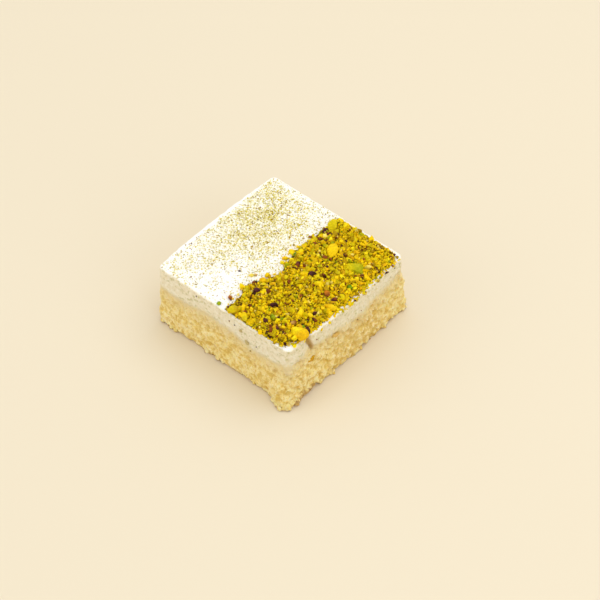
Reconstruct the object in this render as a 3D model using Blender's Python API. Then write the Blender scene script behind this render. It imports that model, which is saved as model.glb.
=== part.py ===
"""A square slice of tres leches cake, cut on all four sides, lying flat on its sponge.

Three solids, bottom to top: the milk-soaked sponge, the whipped cream over it, and a bed of
chopped pistachio on the +X half of the cream. Units are metres and +Z is up. The origin is the
middle of the slice on the surface that it rests on, and the cut sides face X and Y.
"""

import math
import random

import bmesh
import bpy
from mathutils import Euler, Vector, noise

# Driving dimensions of the slice.
SIDE = 0.080
SPONGE_HEIGHT = 0.025
CREAM_THICKNESS = 0.0105
TOTAL_HEIGHT = SPONGE_HEIGHT + CREAM_THICKNESS
HALF = SIDE / 2
GAP = 0.0003
SHARP_EDGE = math.radians(50)
SEED = 11

# The outline and how its walls lean.
CORNER_RADIUS = 0.0025
FOOT_SPREAD = 0.0012
BELLY_PLUS_X = 0.0015
BELLY_MINUS_X = 0.0016
FRONT_FOOT = 0.0044
FRONT_FOOT_WIDTH = 0.009
BACK_FOOT = 0.0032
BACK_FOOT_WIDTH = 0.030
BASE_UNDERCUT = 0.0009

# The wandering line between sponge and cream.
INTERFACE_WAVE = 0.0016
INTERFACE_LENGTH_X = 0.055
INTERFACE_LENGTH_Y = 0.060
INTERFACE_CREST_X = -0.004
INTERFACE_CREST_Y = -0.022
INTERFACE_FLAT_SHARE = 0.90

# The torn crumb of the cut sides.
CRAG_HEIGHT = 0.0010
CRAG_SIZE = 0.0060
CRUMB_HEIGHT = 0.0006
CRUMB_SIZE = 0.0026
CRUMB_SHIFT = Vector((7.3, 1.9, 4.1))
CREAM_CALM = 0.22
CREAM_FADE = (-0.0030, 0.0010)
SMOOTH_SIDE_SHARE = 0.65

# The cream's soft top edge, and the nick beside the front corner.
EDGE_ROUND = 0.0013
NICK_DEPTH = 0.0016
NICK_Y = -0.0275
NICK_WIDTH = 0.0022
NICK_RISE = (0.024, 0.030)

# How finely the walls are cut.
WALL_COLUMNS = 32
SPONGE_ROWS = 10
CREAM_ROWS = 2
CREAM_ARC_ROWS = 3
BASE_ROW = 0.04

# The bed of chopped pistachio: its rectangle, and how its inner edge bays and juts.
BED_EDGE_X = 0.0013
BED_FAR_X = 0.0392
BED_NEAR_Y = -0.0392
BED_FAR_Y = 0.0376
BED_BARE_CORNER = 0.0080
BAY_DEPTH = 0.0043
BAY_Y = -0.0055
BAY_WIDTH = 0.0070
SPIT_REACH = 0.0030
SPIT_Y = -0.0225
SPIT_WIDTH = 0.0050
BED_RAGGED = 0.0009
BED_TOOTH = 0.0030
BED_RIM_SHARE = 0.5
BED_THICKNESS = 0.0014
BED_BUMP = 0.0008
BED_BUMP_SIZE = 0.0026
BED_CELL = 0.0029

# The shards that stand up out of the bed, largest first.
NUT_COUNT = 114
NUT_LENGTHS = (0.0046, 0.0024)
NUT_CROWDING = 0.80
NUT_TRIES = 80
NUT_RISE = 0.08
NUT_INSET = 0.35
LARGE_NUT_FINE = 0.006
LARGE_NUT_TILT = 0.15
SHARD_CORNERS = (0.82, 1.10)
BED_SEAT = TOTAL_HEIGHT + GAP + 0.0002

# The large pieces on the bed: x, y, length, width, height, turn in degrees.
LARGE_NUTS = (
    (0.0352, -0.0270, 0.0105, 0.0080, 0.0044, -12),
    (0.0295, 0.0187, 0.0088, 0.0070, 0.0036, 42),
    (0.0140, 0.0205, 0.0084, 0.0064, 0.0038, -55),
    (0.0044, 0.0320, 0.0084, 0.0048, 0.0038, -50),
    (0.0175, 0.0352, 0.0046, 0.0034, 0.0030, 20),
    (0.0167, 0.0023, 0.0044, 0.0036, 0.0032, 42),
    (0.0302, -0.0021, 0.0046, 0.0040, 0.0030, 70),
    (0.0343, -0.0154, 0.0048, 0.0030, 0.0030, -50),
    (0.0054, -0.0228, 0.0046, 0.0034, 0.0032, 60),
    (0.0112, -0.0368, 0.0056, 0.0036, 0.0030, -45),
    (0.0302, -0.0203, 0.0054, 0.0036, 0.0032, -40),
    (0.0036, -0.0345, 0.0060, 0.0046, 0.0032, 30),
    (0.0238, 0.0002, 0.0052, 0.0040, 0.0030, 10),
    (0.0343, 0.0226, 0.0048, 0.0036, 0.0030, 40),
)

# Nut bits that lie apart on the bare cream: x, y, length.
STRAY_NUTS = (
    (-0.0034, -0.0375, 0.0026),
    (-0.0030, -0.0322, 0.0030),
    (-0.0052, -0.0246, 0.0024),
    (-0.0044, -0.0158, 0.0028),
    (-0.0016, -0.0112, 0.0030),
    (-0.0024, 0.0010, 0.0026),
    (-0.0028, 0.0076, 0.0030),
    (-0.0098, -0.0176, 0.0014),
    (-0.0070, 0.0140, 0.0014),
    (-0.0090, 0.0230, 0.0014),
    (-0.0160, -0.0020, 0.0013),
    (-0.0210, 0.0170, 0.0013),
)

STRAY_RISE = 0.18

# Crumbs that hang out along the foot of the sponge.
BASE_CRUMBS = 16
CRUMB_RADII = (0.0009, 0.0017)
CRUMB_REACH = 0.9
CRUMB_LIFT = (1.3, 2.4)
CRUMB_SINK = 0.0005
CRUMB_LOWEST = 0.0004


def clear_scene():
    """Starts from an empty file."""
    for obj in list(bpy.data.objects):
        bpy.data.objects.remove(obj)


def food_material(name, colour, roughness):
    """A plain Principled material for one food."""
    material = bpy.data.materials.new(name)
    material.use_nodes = True
    shader = material.node_tree.nodes["Principled BSDF"]
    shader.inputs["Base Color"].default_value = (*colour, 1.0)
    shader.inputs["Roughness"].default_value = roughness
    shader.inputs["Metallic"].default_value = 0.0
    return material


def collection_named(name):
    """A new collection in the scene."""
    collection = bpy.data.collections.new(name)
    bpy.context.scene.collection.children.link(collection)
    return collection


def object_from(bm, name, collection, material):
    """Turns the finished bmesh into an object of the collection."""
    bmesh.ops.recalc_face_normals(bm, faces=bm.faces)
    mesh = bpy.data.meshes.new(name)
    bm.to_mesh(mesh)
    bm.free()
    mesh.materials.append(material)
    obj = bpy.data.objects.new(name, mesh)
    collection.objects.link(obj)
    return obj


def smoothstep(low, high, value):
    """0 below low, 1 above high, and a smooth rise between."""
    t = min(max((value - low) / (high - low), 0.0), 1.0)
    return t * t * (3.0 - 2.0 * t)


def bell(distance, width):
    """1 at no distance, falling away over the width."""
    return math.exp(-((distance / width) ** 2))


def spread(low, high, count):
    """Evenly spaced values, both ends included."""
    return [low + (high - low) * i / (count - 1) for i in range(count)]


def cut_block(length, width, cuts, stays_whole):
    """A cube of the given length and width, one unit high, cut by planes into a grid.

    cuts holds the planes' places along X, Y and Z. A face whose normal stays_whole accepts keeps
    to one many-sided face, so that only its rim gets the cuts.
    """
    bm = bmesh.new()
    bmesh.ops.create_cube(bm, size=1.0)
    bmesh.ops.translate(bm, vec=(0.0, 0.0, 0.5), verts=bm.verts)
    bmesh.ops.scale(bm, vec=(length, width, 1.0), verts=bm.verts)
    bm.normal_update()
    for axis, places in enumerate(cuts):
        direction = Vector((0.0, 0.0, 0.0))
        direction[axis] = 1.0
        for place in places:
            faces = [f for f in bm.faces if not stays_whole(f.normal)]
            edges = {e for f in faces for e in f.edges}
            verts = {v for f in faces for v in f.verts}
            bmesh.ops.bisect_plane(
                bm,
                geom=[*faces, *edges, *verts],
                plane_co=direction * place,
                plane_no=direction,
            )
    return bm


def ring_face(bm, face, share):
    """Sets a smaller copy of the face's loop inside it, joined to it by a ring of quads."""
    bmesh.ops.inset_region(bm, faces=[face], thickness=0.0, use_boundary=True)
    for vert in face.verts:
        vert.co.x *= share
        vert.co.y *= share


def facing(bm, direction):
    """The one face of a cut block that looks along the direction."""
    bm.normal_update()
    return max(bm.faces, key=lambda f: (round(f.normal.dot(direction), 3), f.calc_area()))


def outline_point(x, y):
    """A point of the square outline moved onto round corners, with its outward direction."""
    core = HALF - CORNER_RADIUS
    over = Vector((max(abs(x) - core, 0.0), max(abs(y) - core, 0.0)))
    outward = over.normalized()
    reach = max(over)
    place_x = math.copysign(min(abs(x), core) + outward.x * reach, x)
    place_y = math.copysign(min(abs(y), core) + outward.y * reach, y)
    return Vector((place_x, place_y)), Vector(
        (math.copysign(outward.x, x), math.copysign(outward.y, y))
    )


def interface_height(x, y):
    """Height of the line where the sponge ends and the cream begins."""
    return SPONGE_HEIGHT + INTERFACE_WAVE * (
        math.cos(2 * math.pi * (x - INTERFACE_CREST_X) / INTERFACE_LENGTH_X)
        + math.cos(2 * math.pi * (y - INTERFACE_CREST_Y) / INTERFACE_LENGTH_Y)
    )


def wall_lean(place, outward, z):
    """Smooth outward push of a wall: the spread foot and the belly of the cut sides."""
    sag = 1.0 - z / TOTAL_HEIGHT
    middle = 1.0 - (place.y / HALF) ** 2
    push = FOOT_SPREAD * sag**2
    push += BELLY_PLUS_X * max(outward.x, 0.0) * middle
    push += BELLY_MINUS_X * max(-outward.x, 0.0) * middle
    return push


def corner_feet(place, outward, z):
    """How far the sponge's two +X corners step out along Y at the base."""
    sag = max(1.0 - z / SPONGE_HEIGHT, 0.0)
    if outward.y < 0.0:
        return -FRONT_FOOT * bell(place.x - HALF, FRONT_FOOT_WIDTH) * sag**2
    if outward.y > 0.0:
        return BACK_FOOT * bell(place.x - HALF, BACK_FOOT_WIDTH) * sag
    return 0.0


def crumb_relief(place, outward, z):
    """Crags of the torn sponge, which calm down in the cream above it."""
    seat = interface_height(place.x, place.y)
    calm = (1.0 - CREAM_CALM) * smoothstep(*CREAM_FADE, z - seat)
    point = Vector((place.x, place.y, z))
    crags = CRAG_HEIGHT * noise.noise(point / CRAG_SIZE)
    crumbs = CRUMB_HEIGHT * noise.noise(point / CRUMB_SIZE + CRUMB_SHIFT)
    torn_side = SMOOTH_SIDE_SHARE + (1.0 - SMOOTH_SIDE_SHARE) * max(outward.x, 0.0)
    return (1.0 - calm) * torn_side * (crags + crumbs)


def nick(place, outward, z):
    """The small dent in the cream beside the front corner of the +X side."""
    share = bell(place.y - NICK_Y, NICK_WIDTH) * smoothstep(*NICK_RISE, z)
    return -NICK_DEPTH * share * max(outward.x, 0.0)


def wall_point(x, y, z, inset):
    """Where a point of the square outline lies on the real wall at height z."""
    place, outward = outline_point(x, y)
    push = wall_lean(place, outward, z) + crumb_relief(place, outward, z)
    push += nick(place, outward, z) - inset
    moved = place + outward * push
    return Vector((moved.x, moved.y + corner_feet(place, outward, z), z))


def wall_cuts():
    """Where planes cut the walls: even columns, and one more in each rounded corner."""
    core = HALF - CORNER_RADIUS
    bend = core + CORNER_RADIUS * math.tan(math.pi / 8)
    return [-bend, *spread(-core, core, WALL_COLUMNS + 1), bend]


def on_wall(point):
    """Whether a point of the uncut block lies on its outline."""
    return max(abs(point.x), abs(point.y)) > HALF * 0.999


def level_ends(normal):
    """Picks the faces that look up or down."""
    return abs(normal.z) > 0.5


def sponge_rows():
    """Shares of the sponge's height at which its walls are cut."""
    return spread(BASE_ROW, 1.0, SPONGE_ROWS)[:-1]


def build_sponge(collection, material):
    """The milk-soaked sponge: torn walls, a flat base, and a wandering top edge."""
    columns = wall_cuts()
    bm = cut_block(SIDE, SIDE, (columns, columns, sponge_rows()), level_ends)
    ring_face(bm, facing(bm, Vector((0.0, 0.0, 1.0))), INTERFACE_FLAT_SHARE)
    for vert in bm.verts:
        x, y, share = vert.co
        if not on_wall(vert.co):
            vert.co.z = SPONGE_HEIGHT
            continue
        z = share * interface_height(x, y)
        tuck = 1.0 + noise.noise(Vector((x, y, 0.0)) / CRUMB_SIZE)
        inset = BASE_UNDERCUT * tuck if share == 0.0 else 0.0
        vert.co = wall_point(x, y, z, inset)
    return object_from(bm, "sponge_cake", collection, material)


def cream_profile(share):
    """Height share and inset of the cream's wall, whose last rows turn over a soft edge."""
    straight = 1.0 - EDGE_ROUND / CREAM_THICKNESS
    rows = CREAM_ROWS + CREAM_ARC_ROWS
    step = round(share * rows)
    if step <= CREAM_ROWS:
        return straight * step / CREAM_ROWS, 0.0
    angle = math.pi / 2 * (step - CREAM_ROWS) / CREAM_ARC_ROWS
    rise = EDGE_ROUND / CREAM_THICKNESS * math.sin(angle)
    return straight + rise, EDGE_ROUND * (1.0 - math.cos(angle))


def build_cream(collection, material):
    """The whipped cream: it rests on the sponge's top and ends in a flat top with soft edges."""
    columns = wall_cuts()
    rows = CREAM_ROWS + CREAM_ARC_ROWS
    row_cuts = spread(0.0, 1.0, rows + 1)[1:-1]
    bm = cut_block(SIDE, SIDE, (columns, columns, row_cuts), level_ends)
    ring_face(bm, facing(bm, Vector((0.0, 0.0, -1.0))), INTERFACE_FLAT_SHARE)
    for vert in bm.verts:
        x, y, share = vert.co
        if not on_wall(vert.co):
            vert.co.z = SPONGE_HEIGHT + GAP
            continue
        seat = interface_height(x, y) + GAP
        rise, inset = cream_profile(share)
        vert.co = wall_point(x, y, seat + (TOTAL_HEIGHT - seat) * rise, inset)
    return object_from(bm, "whipped_cream", collection, material)


def bed_edge(y):
    """X of the bed's ragged edge across the middle of the slice."""
    bay = BAY_DEPTH * bell(y - BAY_Y, BAY_WIDTH)
    spit = SPIT_REACH * bell(y - SPIT_Y, SPIT_WIDTH)
    teeth = BED_RAGGED * noise.noise(Vector((0.0, y / BED_TOOTH, 0.5)))
    return BED_EDGE_X + bay - spit + teeth


def bed_point(x, y):
    """Moves a point of the bed's plain rectangle to its uneven outline."""
    share = (x - BED_EDGE_X) / (BED_FAR_X - BED_EDGE_X)
    ragged = BED_RAGGED / 2 * noise.noise(Vector((x, y, 0.0)) / BED_TOOTH)
    new_x = bed_edge(y) * (1.0 - share) + (BED_FAR_X + ragged) * share
    near_corner = (BED_FAR_X - new_x) + (y - BED_NEAR_Y)
    lack = max(BED_BARE_CORNER - near_corner, 0.0) / 2
    return Vector((new_x - lack, y + lack + ragged, 0.0))


def build_bed_core(collection, material):
    """The bed's own thin layer of fine nut crumbs: a flat base and a bumpy top."""
    length, width = BED_FAR_X - BED_EDGE_X, BED_FAR_Y - BED_NEAR_Y
    columns = spread(-length / 2, length / 2, round(length / BED_CELL) + 1)[1:-1]
    rows = spread(-width / 2, width / 2, round(width / BED_CELL) + 1)[1:-1]
    bm = cut_block(length, width, (columns, rows, ()), lambda normal: normal.z < -0.5)
    middle = Vector(((BED_EDGE_X + BED_FAR_X) / 2, (BED_NEAR_Y + BED_FAR_Y) / 2))
    for vert in bm.verts:
        rim = abs(vert.co.x) > length * 0.499 or abs(vert.co.y) > width * 0.499
        top = vert.co.z > 0.5
        place = bed_point(vert.co.x + middle.x, vert.co.y + middle.y)
        bump = BED_BUMP * noise.noise(place / BED_BUMP_SIZE)
        height = BED_THICKNESS * BED_RIM_SHARE if rim else BED_THICKNESS + bump
        place.z = TOTAL_HEIGHT + GAP + (height if top else 0.0)
        vert.co = place
    return object_from(bm, "chopped_pistachio", collection, material)


def any_turn(draw):
    """A random turn about all three axes."""
    return Euler([draw.uniform(0.0, 2 * math.pi) for _ in range(3)])


def shard(name, size, angles, place, lowest, draw, collection, subdivisions=1):
    """One faceted shard or crumb: a low icosphere with its corners drawn in and out.

    No corner of it reaches below the height given as lowest.
    """
    bm = bmesh.new()
    bmesh.ops.create_icosphere(bm, subdivisions=subdivisions, radius=0.5)
    for vert in bm.verts:
        vert.co *= draw.uniform(*SHARD_CORNERS)
    bmesh.ops.scale(bm, vec=size, verts=bm.verts)
    bmesh.ops.rotate(bm, matrix=angles.to_matrix(), verts=bm.verts)
    bmesh.ops.translate(bm, vec=place, verts=bm.verts)
    for vert in bm.verts:
        vert.co.z = max(vert.co.z, lowest)
    mesh = bpy.data.meshes.new(name)
    bm.to_mesh(mesh)
    bm.free()
    collection.objects.link(bpy.data.objects.new(name, mesh))


def in_bed(x, y, margin):
    """Whether a point lies on the bed, at least the margin inside its outline."""
    inside_x = bed_edge(y) + margin < x < BED_FAR_X - margin
    inside_y = BED_NEAR_Y + margin < y < BED_FAR_Y - margin
    corner = (BED_FAR_X - x) + (y - BED_NEAR_Y) > BED_BARE_CORNER + margin
    return inside_x and inside_y and corner


def scatter_large_nuts(collection, draw):
    """The pieces that stand out on the bed, each at its own place and size."""
    floor = TOTAL_HEIGHT + GAP + BED_THICKNESS
    for index, (x, y, length, width, height, turn) in enumerate(LARGE_NUTS):
        place = Vector((x, y, floor + height * NUT_RISE))
        tilts = [draw.uniform(-LARGE_NUT_TILT, LARGE_NUT_TILT) for _ in range(2)]
        angles = Euler((*tilts, math.radians(turn)))
        detail = 2 if length > LARGE_NUT_FINE else 1
        size = (length, width, height)
        shard(f"large_{index}", size, angles, place, BED_SEAT, draw, collection, detail)


def scatter_nuts(collection, draw):
    """The smaller shards, dropped largest first where they clear those already there."""
    floor = TOTAL_HEIGHT + GAP + BED_THICKNESS
    placed = [(nut[0], nut[1], nut[2] / 2) for nut in LARGE_NUTS]
    for index, length in enumerate(spread(*NUT_LENGTHS, NUT_COUNT)):
        for _ in range(NUT_TRIES):
            x = draw.uniform(BED_EDGE_X - SPIT_REACH, BED_FAR_X)
            y = draw.uniform(BED_NEAR_Y, BED_FAR_Y)
            clear = all(
                math.hypot(x - px, y - py) > (length / 2 + reach) * NUT_CROWDING
                for px, py, reach in placed
            )
            if clear and in_bed(x, y, length * NUT_INSET):
                placed.append((x, y, length / 2))
                size = (length, length * draw.uniform(0.7, 0.9), length * draw.uniform(0.6, 0.8))
                place = Vector((x, y, floor + length * NUT_RISE))
                angles = any_turn(draw)
                shard(f"nut_{index}", size, angles, place, BED_SEAT, draw, collection)
                break


def scatter_strays(collection, draw):
    """Bits that fell apart from the bed and sit a little way into the bare cream."""
    for index, (x, y, length) in enumerate(STRAY_NUTS):
        size = (length, length * 0.8, length * 0.7)
        place = Vector((x, y, TOTAL_HEIGHT + length * STRAY_RISE))
        deep = TOTAL_HEIGHT - length
        shard(f"stray_{index}", size, any_turn(draw), place, deep, draw, collection)


def scatter_base_crumbs(collection, draw):
    """Crumbs that hang out along the foot of the sponge's two rougher sides."""
    for index in range(BASE_CRUMBS):
        along = HALF * draw.uniform(-CRUMB_REACH, CRUMB_REACH)
        on_x_side = index % 3 != 0
        x, y = (HALF, along) if on_x_side else (along, -HALF)
        radius = draw.uniform(*CRUMB_RADII)
        place = wall_point(x, y, radius * draw.uniform(*CRUMB_LIFT), CRUMB_SINK)
        size = (2.2 * radius, 2.0 * radius, 1.8 * radius)
        shard(f"crumb_{index}", size, any_turn(draw), place, CRUMB_LOWEST, draw, collection)


def islands(bm):
    """The separate bodies of a bmesh, as lists of faces."""
    left, found = set(bm.faces), []
    while left:
        body, edge = [], [left.pop()]
        while edge:
            face = edge.pop()
            body.append(face)
            for link in face.edges:
                for other in link.link_faces:
                    if other in left:
                        left.remove(other)
                        edge.append(other)
        found.append(body)
    return found


def fuse(obj, pieces):
    """Joins every object of the collection to obj, drops loose scraps and removes the pieces."""
    union = obj.modifiers.new("fuse", "BOOLEAN")
    union.operation = "UNION"
    union.operand_type = "COLLECTION"
    union.collection = pieces
    union.solver = "EXACT"
    union.use_self = True
    bpy.context.view_layer.update()
    evaluated = obj.evaluated_get(bpy.context.evaluated_depsgraph_get())
    bm = bmesh.new()
    bm.from_mesh(evaluated.to_mesh())
    evaluated.to_mesh_clear()
    obj.modifiers.remove(union)
    bodies = sorted(islands(bm), key=len)
    scraps = [face for body in bodies[:-1] for face in body]
    bmesh.ops.delete(bm, geom=scraps, context="FACES")
    bmesh.ops.triangulate(bm, faces=bm.faces)
    bm.to_mesh(obj.data)
    bm.free()
    for piece in list(pieces.objects):
        bpy.data.objects.remove(piece)
    bpy.data.collections.remove(pieces)


def main():
    """Builds the slice from the bottom up."""
    clear_scene()
    slice_parts = collection_named("tres_leches_slice")
    sponge_paint = food_material("soaked_sponge", (0.80, 0.62, 0.27), 0.85)
    cream_paint = food_material("whipped_cream", (0.90, 0.87, 0.78), 0.55)
    nut_paint = food_material("chopped_pistachio", (0.62, 0.50, 0.04), 0.70)

    draw = random.Random(SEED)
    sponge = build_sponge(slice_parts, sponge_paint)
    crumbs = collection_named("crumbs")
    scatter_base_crumbs(crumbs, draw)
    fuse(sponge, crumbs)

    cream = build_cream(slice_parts, cream_paint)
    strays = collection_named("strays")
    scatter_strays(strays, draw)
    fuse(cream, strays)

    bed = build_bed_core(slice_parts, nut_paint)
    nuts = collection_named("nuts")
    scatter_large_nuts(nuts, draw)
    scatter_nuts(nuts, draw)
    fuse(bed, nuts)

    for obj in (sponge, cream):
        obj.data.shade_smooth()
        obj.data.set_sharp_from_angle(angle=SHARP_EDGE)


main()
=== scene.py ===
"""Looks of a square slice of tres leches cake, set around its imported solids.

The sponge, the cream and the bed of chopped pistachio are made again in fine mesh by the same
rules as their solids, and are then dressed with crumb relief, nut chips, ground nut and loose
crumbs. Lengths are metres unless a name or a comment says millimetres.
"""

import logging
import math
import random
from collections.abc import Callable, Sequence
from dataclasses import dataclass, field
from enum import Enum

import bmesh
import bpy
from mathutils import Euler, Matrix, Vector, noise


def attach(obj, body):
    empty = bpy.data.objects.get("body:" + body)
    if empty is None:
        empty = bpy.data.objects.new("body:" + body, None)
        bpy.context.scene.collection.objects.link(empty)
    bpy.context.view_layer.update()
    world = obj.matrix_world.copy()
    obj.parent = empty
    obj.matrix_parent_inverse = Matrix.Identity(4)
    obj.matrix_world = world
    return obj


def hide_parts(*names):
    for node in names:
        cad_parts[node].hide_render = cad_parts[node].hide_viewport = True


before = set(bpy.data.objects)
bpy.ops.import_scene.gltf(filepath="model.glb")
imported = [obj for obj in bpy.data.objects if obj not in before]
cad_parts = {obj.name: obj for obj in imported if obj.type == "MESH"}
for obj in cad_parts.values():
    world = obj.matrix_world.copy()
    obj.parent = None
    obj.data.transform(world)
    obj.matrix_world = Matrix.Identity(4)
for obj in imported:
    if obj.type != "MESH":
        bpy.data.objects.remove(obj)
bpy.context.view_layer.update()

LOG = logging.getLogger("tres_leches_slice")
MM = 0.001
BODY = "root"
INNER = 0.999
CREASE = math.radians(70)
KNIFE_CREASE = math.radians(32)

BMesh = bmesh.types.BMesh
Material = bpy.types.Material
Mesh = bpy.types.Mesh
Node = bpy.types.Node
NodeTree = bpy.types.NodeTree
Object = bpy.types.Object
Socket = bpy.types.NodeSocket
Colour = tuple[float, float, float]
Span = tuple[float, float]
Term = Socket | float | int | str | Sequence[float]


def smoothstep(low: float, high: float, value: float) -> float:
    """Rises smoothly from 0 at low to 1 at high."""
    t = min(max((value - low) / (high - low), 0.0), 1.0)
    return t * t * (3.0 - 2.0 * t)


def bell(distance: float, width: float) -> float:
    """1 at no distance, falling away over the width."""
    return math.exp(-((distance / width) ** 2))


def linear(red: int, green: int, blue: int) -> Colour:
    """Turns an sRGB colour of 0 to 255 into the linear values that a shader takes.

    Args:
        red: Red.
        green: Green.
        blue: Blue.

    Returns:
        The linear colour.
    """

    def channel(value: int) -> float:
        """One channel's linear value."""
        share = value / 255
        return share / 12.92 if share <= 0.04045 else ((share + 0.055) / 1.055) ** 2.4

    return channel(red), channel(green), channel(blue)


@dataclass(frozen=True)
class SliceForm:
    """The slice's outline, walls and layers, by the rules that its solids follow."""

    half: float = 0.040
    sponge_height: float = 0.025
    cream_thickness: float = 0.0105
    corner_radius: float = 0.0025
    foot_spread: float = 0.0012
    belly_plus_x: float = 0.0015
    belly_minus_x: float = 0.0016
    front_foot: float = 0.0044
    front_foot_width: float = 0.009
    back_foot: float = 0.0032
    back_foot_width: float = 0.030
    base_undercut: float = 0.0009
    wave: float = 0.0016
    wave_length: Span = (0.055, 0.060)
    wave_crest: Span = (-0.004, -0.022)
    crag_height: float = 0.0010
    crag_size: float = 0.0060
    crumb_height: float = 0.0006
    crumb_size: float = 0.0026
    crumb_shift: Vector = field(default_factory=lambda: Vector((7.3, 1.9, 4.1)))
    cream_calm: float = 0.22
    cream_fade: Span = (-0.0030, 0.0010)
    smooth_side_share: float = 0.65
    nick_depth: float = 0.0016
    nick_y: float = -0.0275
    nick_width: float = 0.0022
    nick_rise: Span = (0.024, 0.030)

    @property
    def total_height(self) -> float:
        """Height of the cream's top."""
        return self.sponge_height + self.cream_thickness

    def outline_point(self, x: float, y: float) -> tuple[Vector, Vector]:
        """Moves a point of the square outline onto the rounded corners.

        Args:
            x: Place along X on the plain square.
            y: Place along Y on the plain square.

        Returns:
            The point on the rounded outline, and the outline's outward direction there.
        """
        core = self.half - self.corner_radius
        over = Vector((max(abs(x) - core, 0.0), max(abs(y) - core, 0.0)))
        outward = over.normalized()
        reach = max(over)
        place = Vector((
            math.copysign(min(abs(x), core) + outward.x * reach, x),
            math.copysign(min(abs(y), core) + outward.y * reach, y),
        ))
        return place, Vector((math.copysign(outward.x, x), math.copysign(outward.y, y)))

    def interface_height(self, x: float, y: float) -> float:
        """Height of the wandering line between sponge and cream.

        Args:
            x: Place along X.
            y: Place along Y.

        Returns:
            The height.
        """
        turns_x = (x - self.wave_crest[0]) / self.wave_length[0]
        turns_y = (y - self.wave_crest[1]) / self.wave_length[1]
        waves = math.cos(2 * math.pi * turns_x) + math.cos(2 * math.pi * turns_y)
        return self.sponge_height + self.wave * waves

    def wall_lean(self, place: Vector, outward: Vector, z: float) -> float:
        """How far the spread foot and the bellied sides push a wall point outwards.

        Args:
            place: The wall's point, seen from above.
            outward: Which way the wall faces.
            z: Height of the place.

        Returns:
            The push.
        """
        sag = 1.0 - z / self.total_height
        middle = 1.0 - (place.y / self.half) ** 2
        push = self.foot_spread * sag**2
        push += self.belly_plus_x * max(outward.x, 0.0) * middle
        return push + self.belly_minus_x * max(-outward.x, 0.0) * middle

    def corner_feet(self, place: Vector, outward: Vector, z: float) -> float:
        """How far the two +X corners of the sponge step out along Y at their foot.

        Args:
            place: The wall's point, seen from above.
            outward: Which way the wall faces.
            z: Height of the place.

        Returns:
            The step along Y.
        """
        sag = max(1.0 - z / self.sponge_height, 0.0)
        if outward.y < 0.0:
            return -self.front_foot * bell(place.x - self.half, self.front_foot_width) * sag**2
        if outward.y > 0.0:
            return self.back_foot * bell(place.x - self.half, self.back_foot_width) * sag
        return 0.0

    def crumb_relief(self, place: Vector, outward: Vector, z: float) -> float:
        """The crags of the torn sponge, which calm down in the cream above it.

        Args:
            place: The wall's point, seen from above.
            outward: Which way the wall faces.
            z: Height of the place.

        Returns:
            How far the wall stands out.
        """
        seat = self.interface_height(place.x, place.y)
        calm = (1.0 - self.cream_calm) * smoothstep(*self.cream_fade, z - seat)
        point = Vector((place.x, place.y, z))
        crags = self.crag_height * noise.noise(point / self.crag_size)
        crumbs = self.crumb_height * noise.noise(point / self.crumb_size + self.crumb_shift)
        torn = self.smooth_side_share + (1.0 - self.smooth_side_share) * max(outward.x, 0.0)
        return (1.0 - calm) * torn * (crags + crumbs)

    def nick(self, place: Vector, outward: Vector, z: float) -> float:
        """The small dent in the cream beside the front corner of the +X side."""
        share = bell(place.y - self.nick_y, self.nick_width) * smoothstep(*self.nick_rise, z)
        return -self.nick_depth * share * max(outward.x, 0.0)

    def wall_point(self, x: float, y: float, z: float, inset: float) -> Vector:
        """Where a point of the square outline lies on the real wall.

        Args:
            x: Place along X on the plain square.
            y: Place along Y on the plain square.
            z: Height of the point.
            inset: How far the wall is drawn in there.

        Returns:
            The point on the wall.
        """
        place, outward = self.outline_point(x, y)
        push = self.wall_lean(place, outward, z) + self.crumb_relief(place, outward, z)
        push += self.nick(place, outward, z) - inset
        moved = place + outward * push
        return Vector((moved.x, moved.y + self.corner_feet(place, outward, z), z))


@dataclass(frozen=True)
class Notch:
    """The sharp notch beside the front corner, from the cream's edge into the sponge, browned by
    nut paste and painted shade.
    """

    depth: float = 0.0020
    x: float = 0.0396
    y: float = -0.0244
    z: float = 0.0275
    slant: float = -0.30
    width: float = 0.0012
    foot: Span = (0.0225, 0.0262)
    paste_and_shade_span: Span = (0.15, 0.90)

    def share(self, x: float, y: float, z: float) -> float:
        """How deep the notch is at a place of the plain square's outline, from 0 to 1.

        Args:
            x: Place along X on the plain square.
            y: Place along Y on the plain square.
            z: Height of the place.

        Returns:
            The share of its full depth.
        """
        if x < self.x:
            return 0.0
        middle = self.y + self.slant * (z - self.z)
        return bell(y - middle, self.width) * smoothstep(*self.foot, z)

    def paste(self, x: float, y: float, z: float) -> float:
        """How thickly brown paste and painted shade lie in the notch at a place, from 0 to 1."""
        return smoothstep(*self.paste_and_shade_span, self.share(x, y, z))


NOTCH = Notch()


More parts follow.
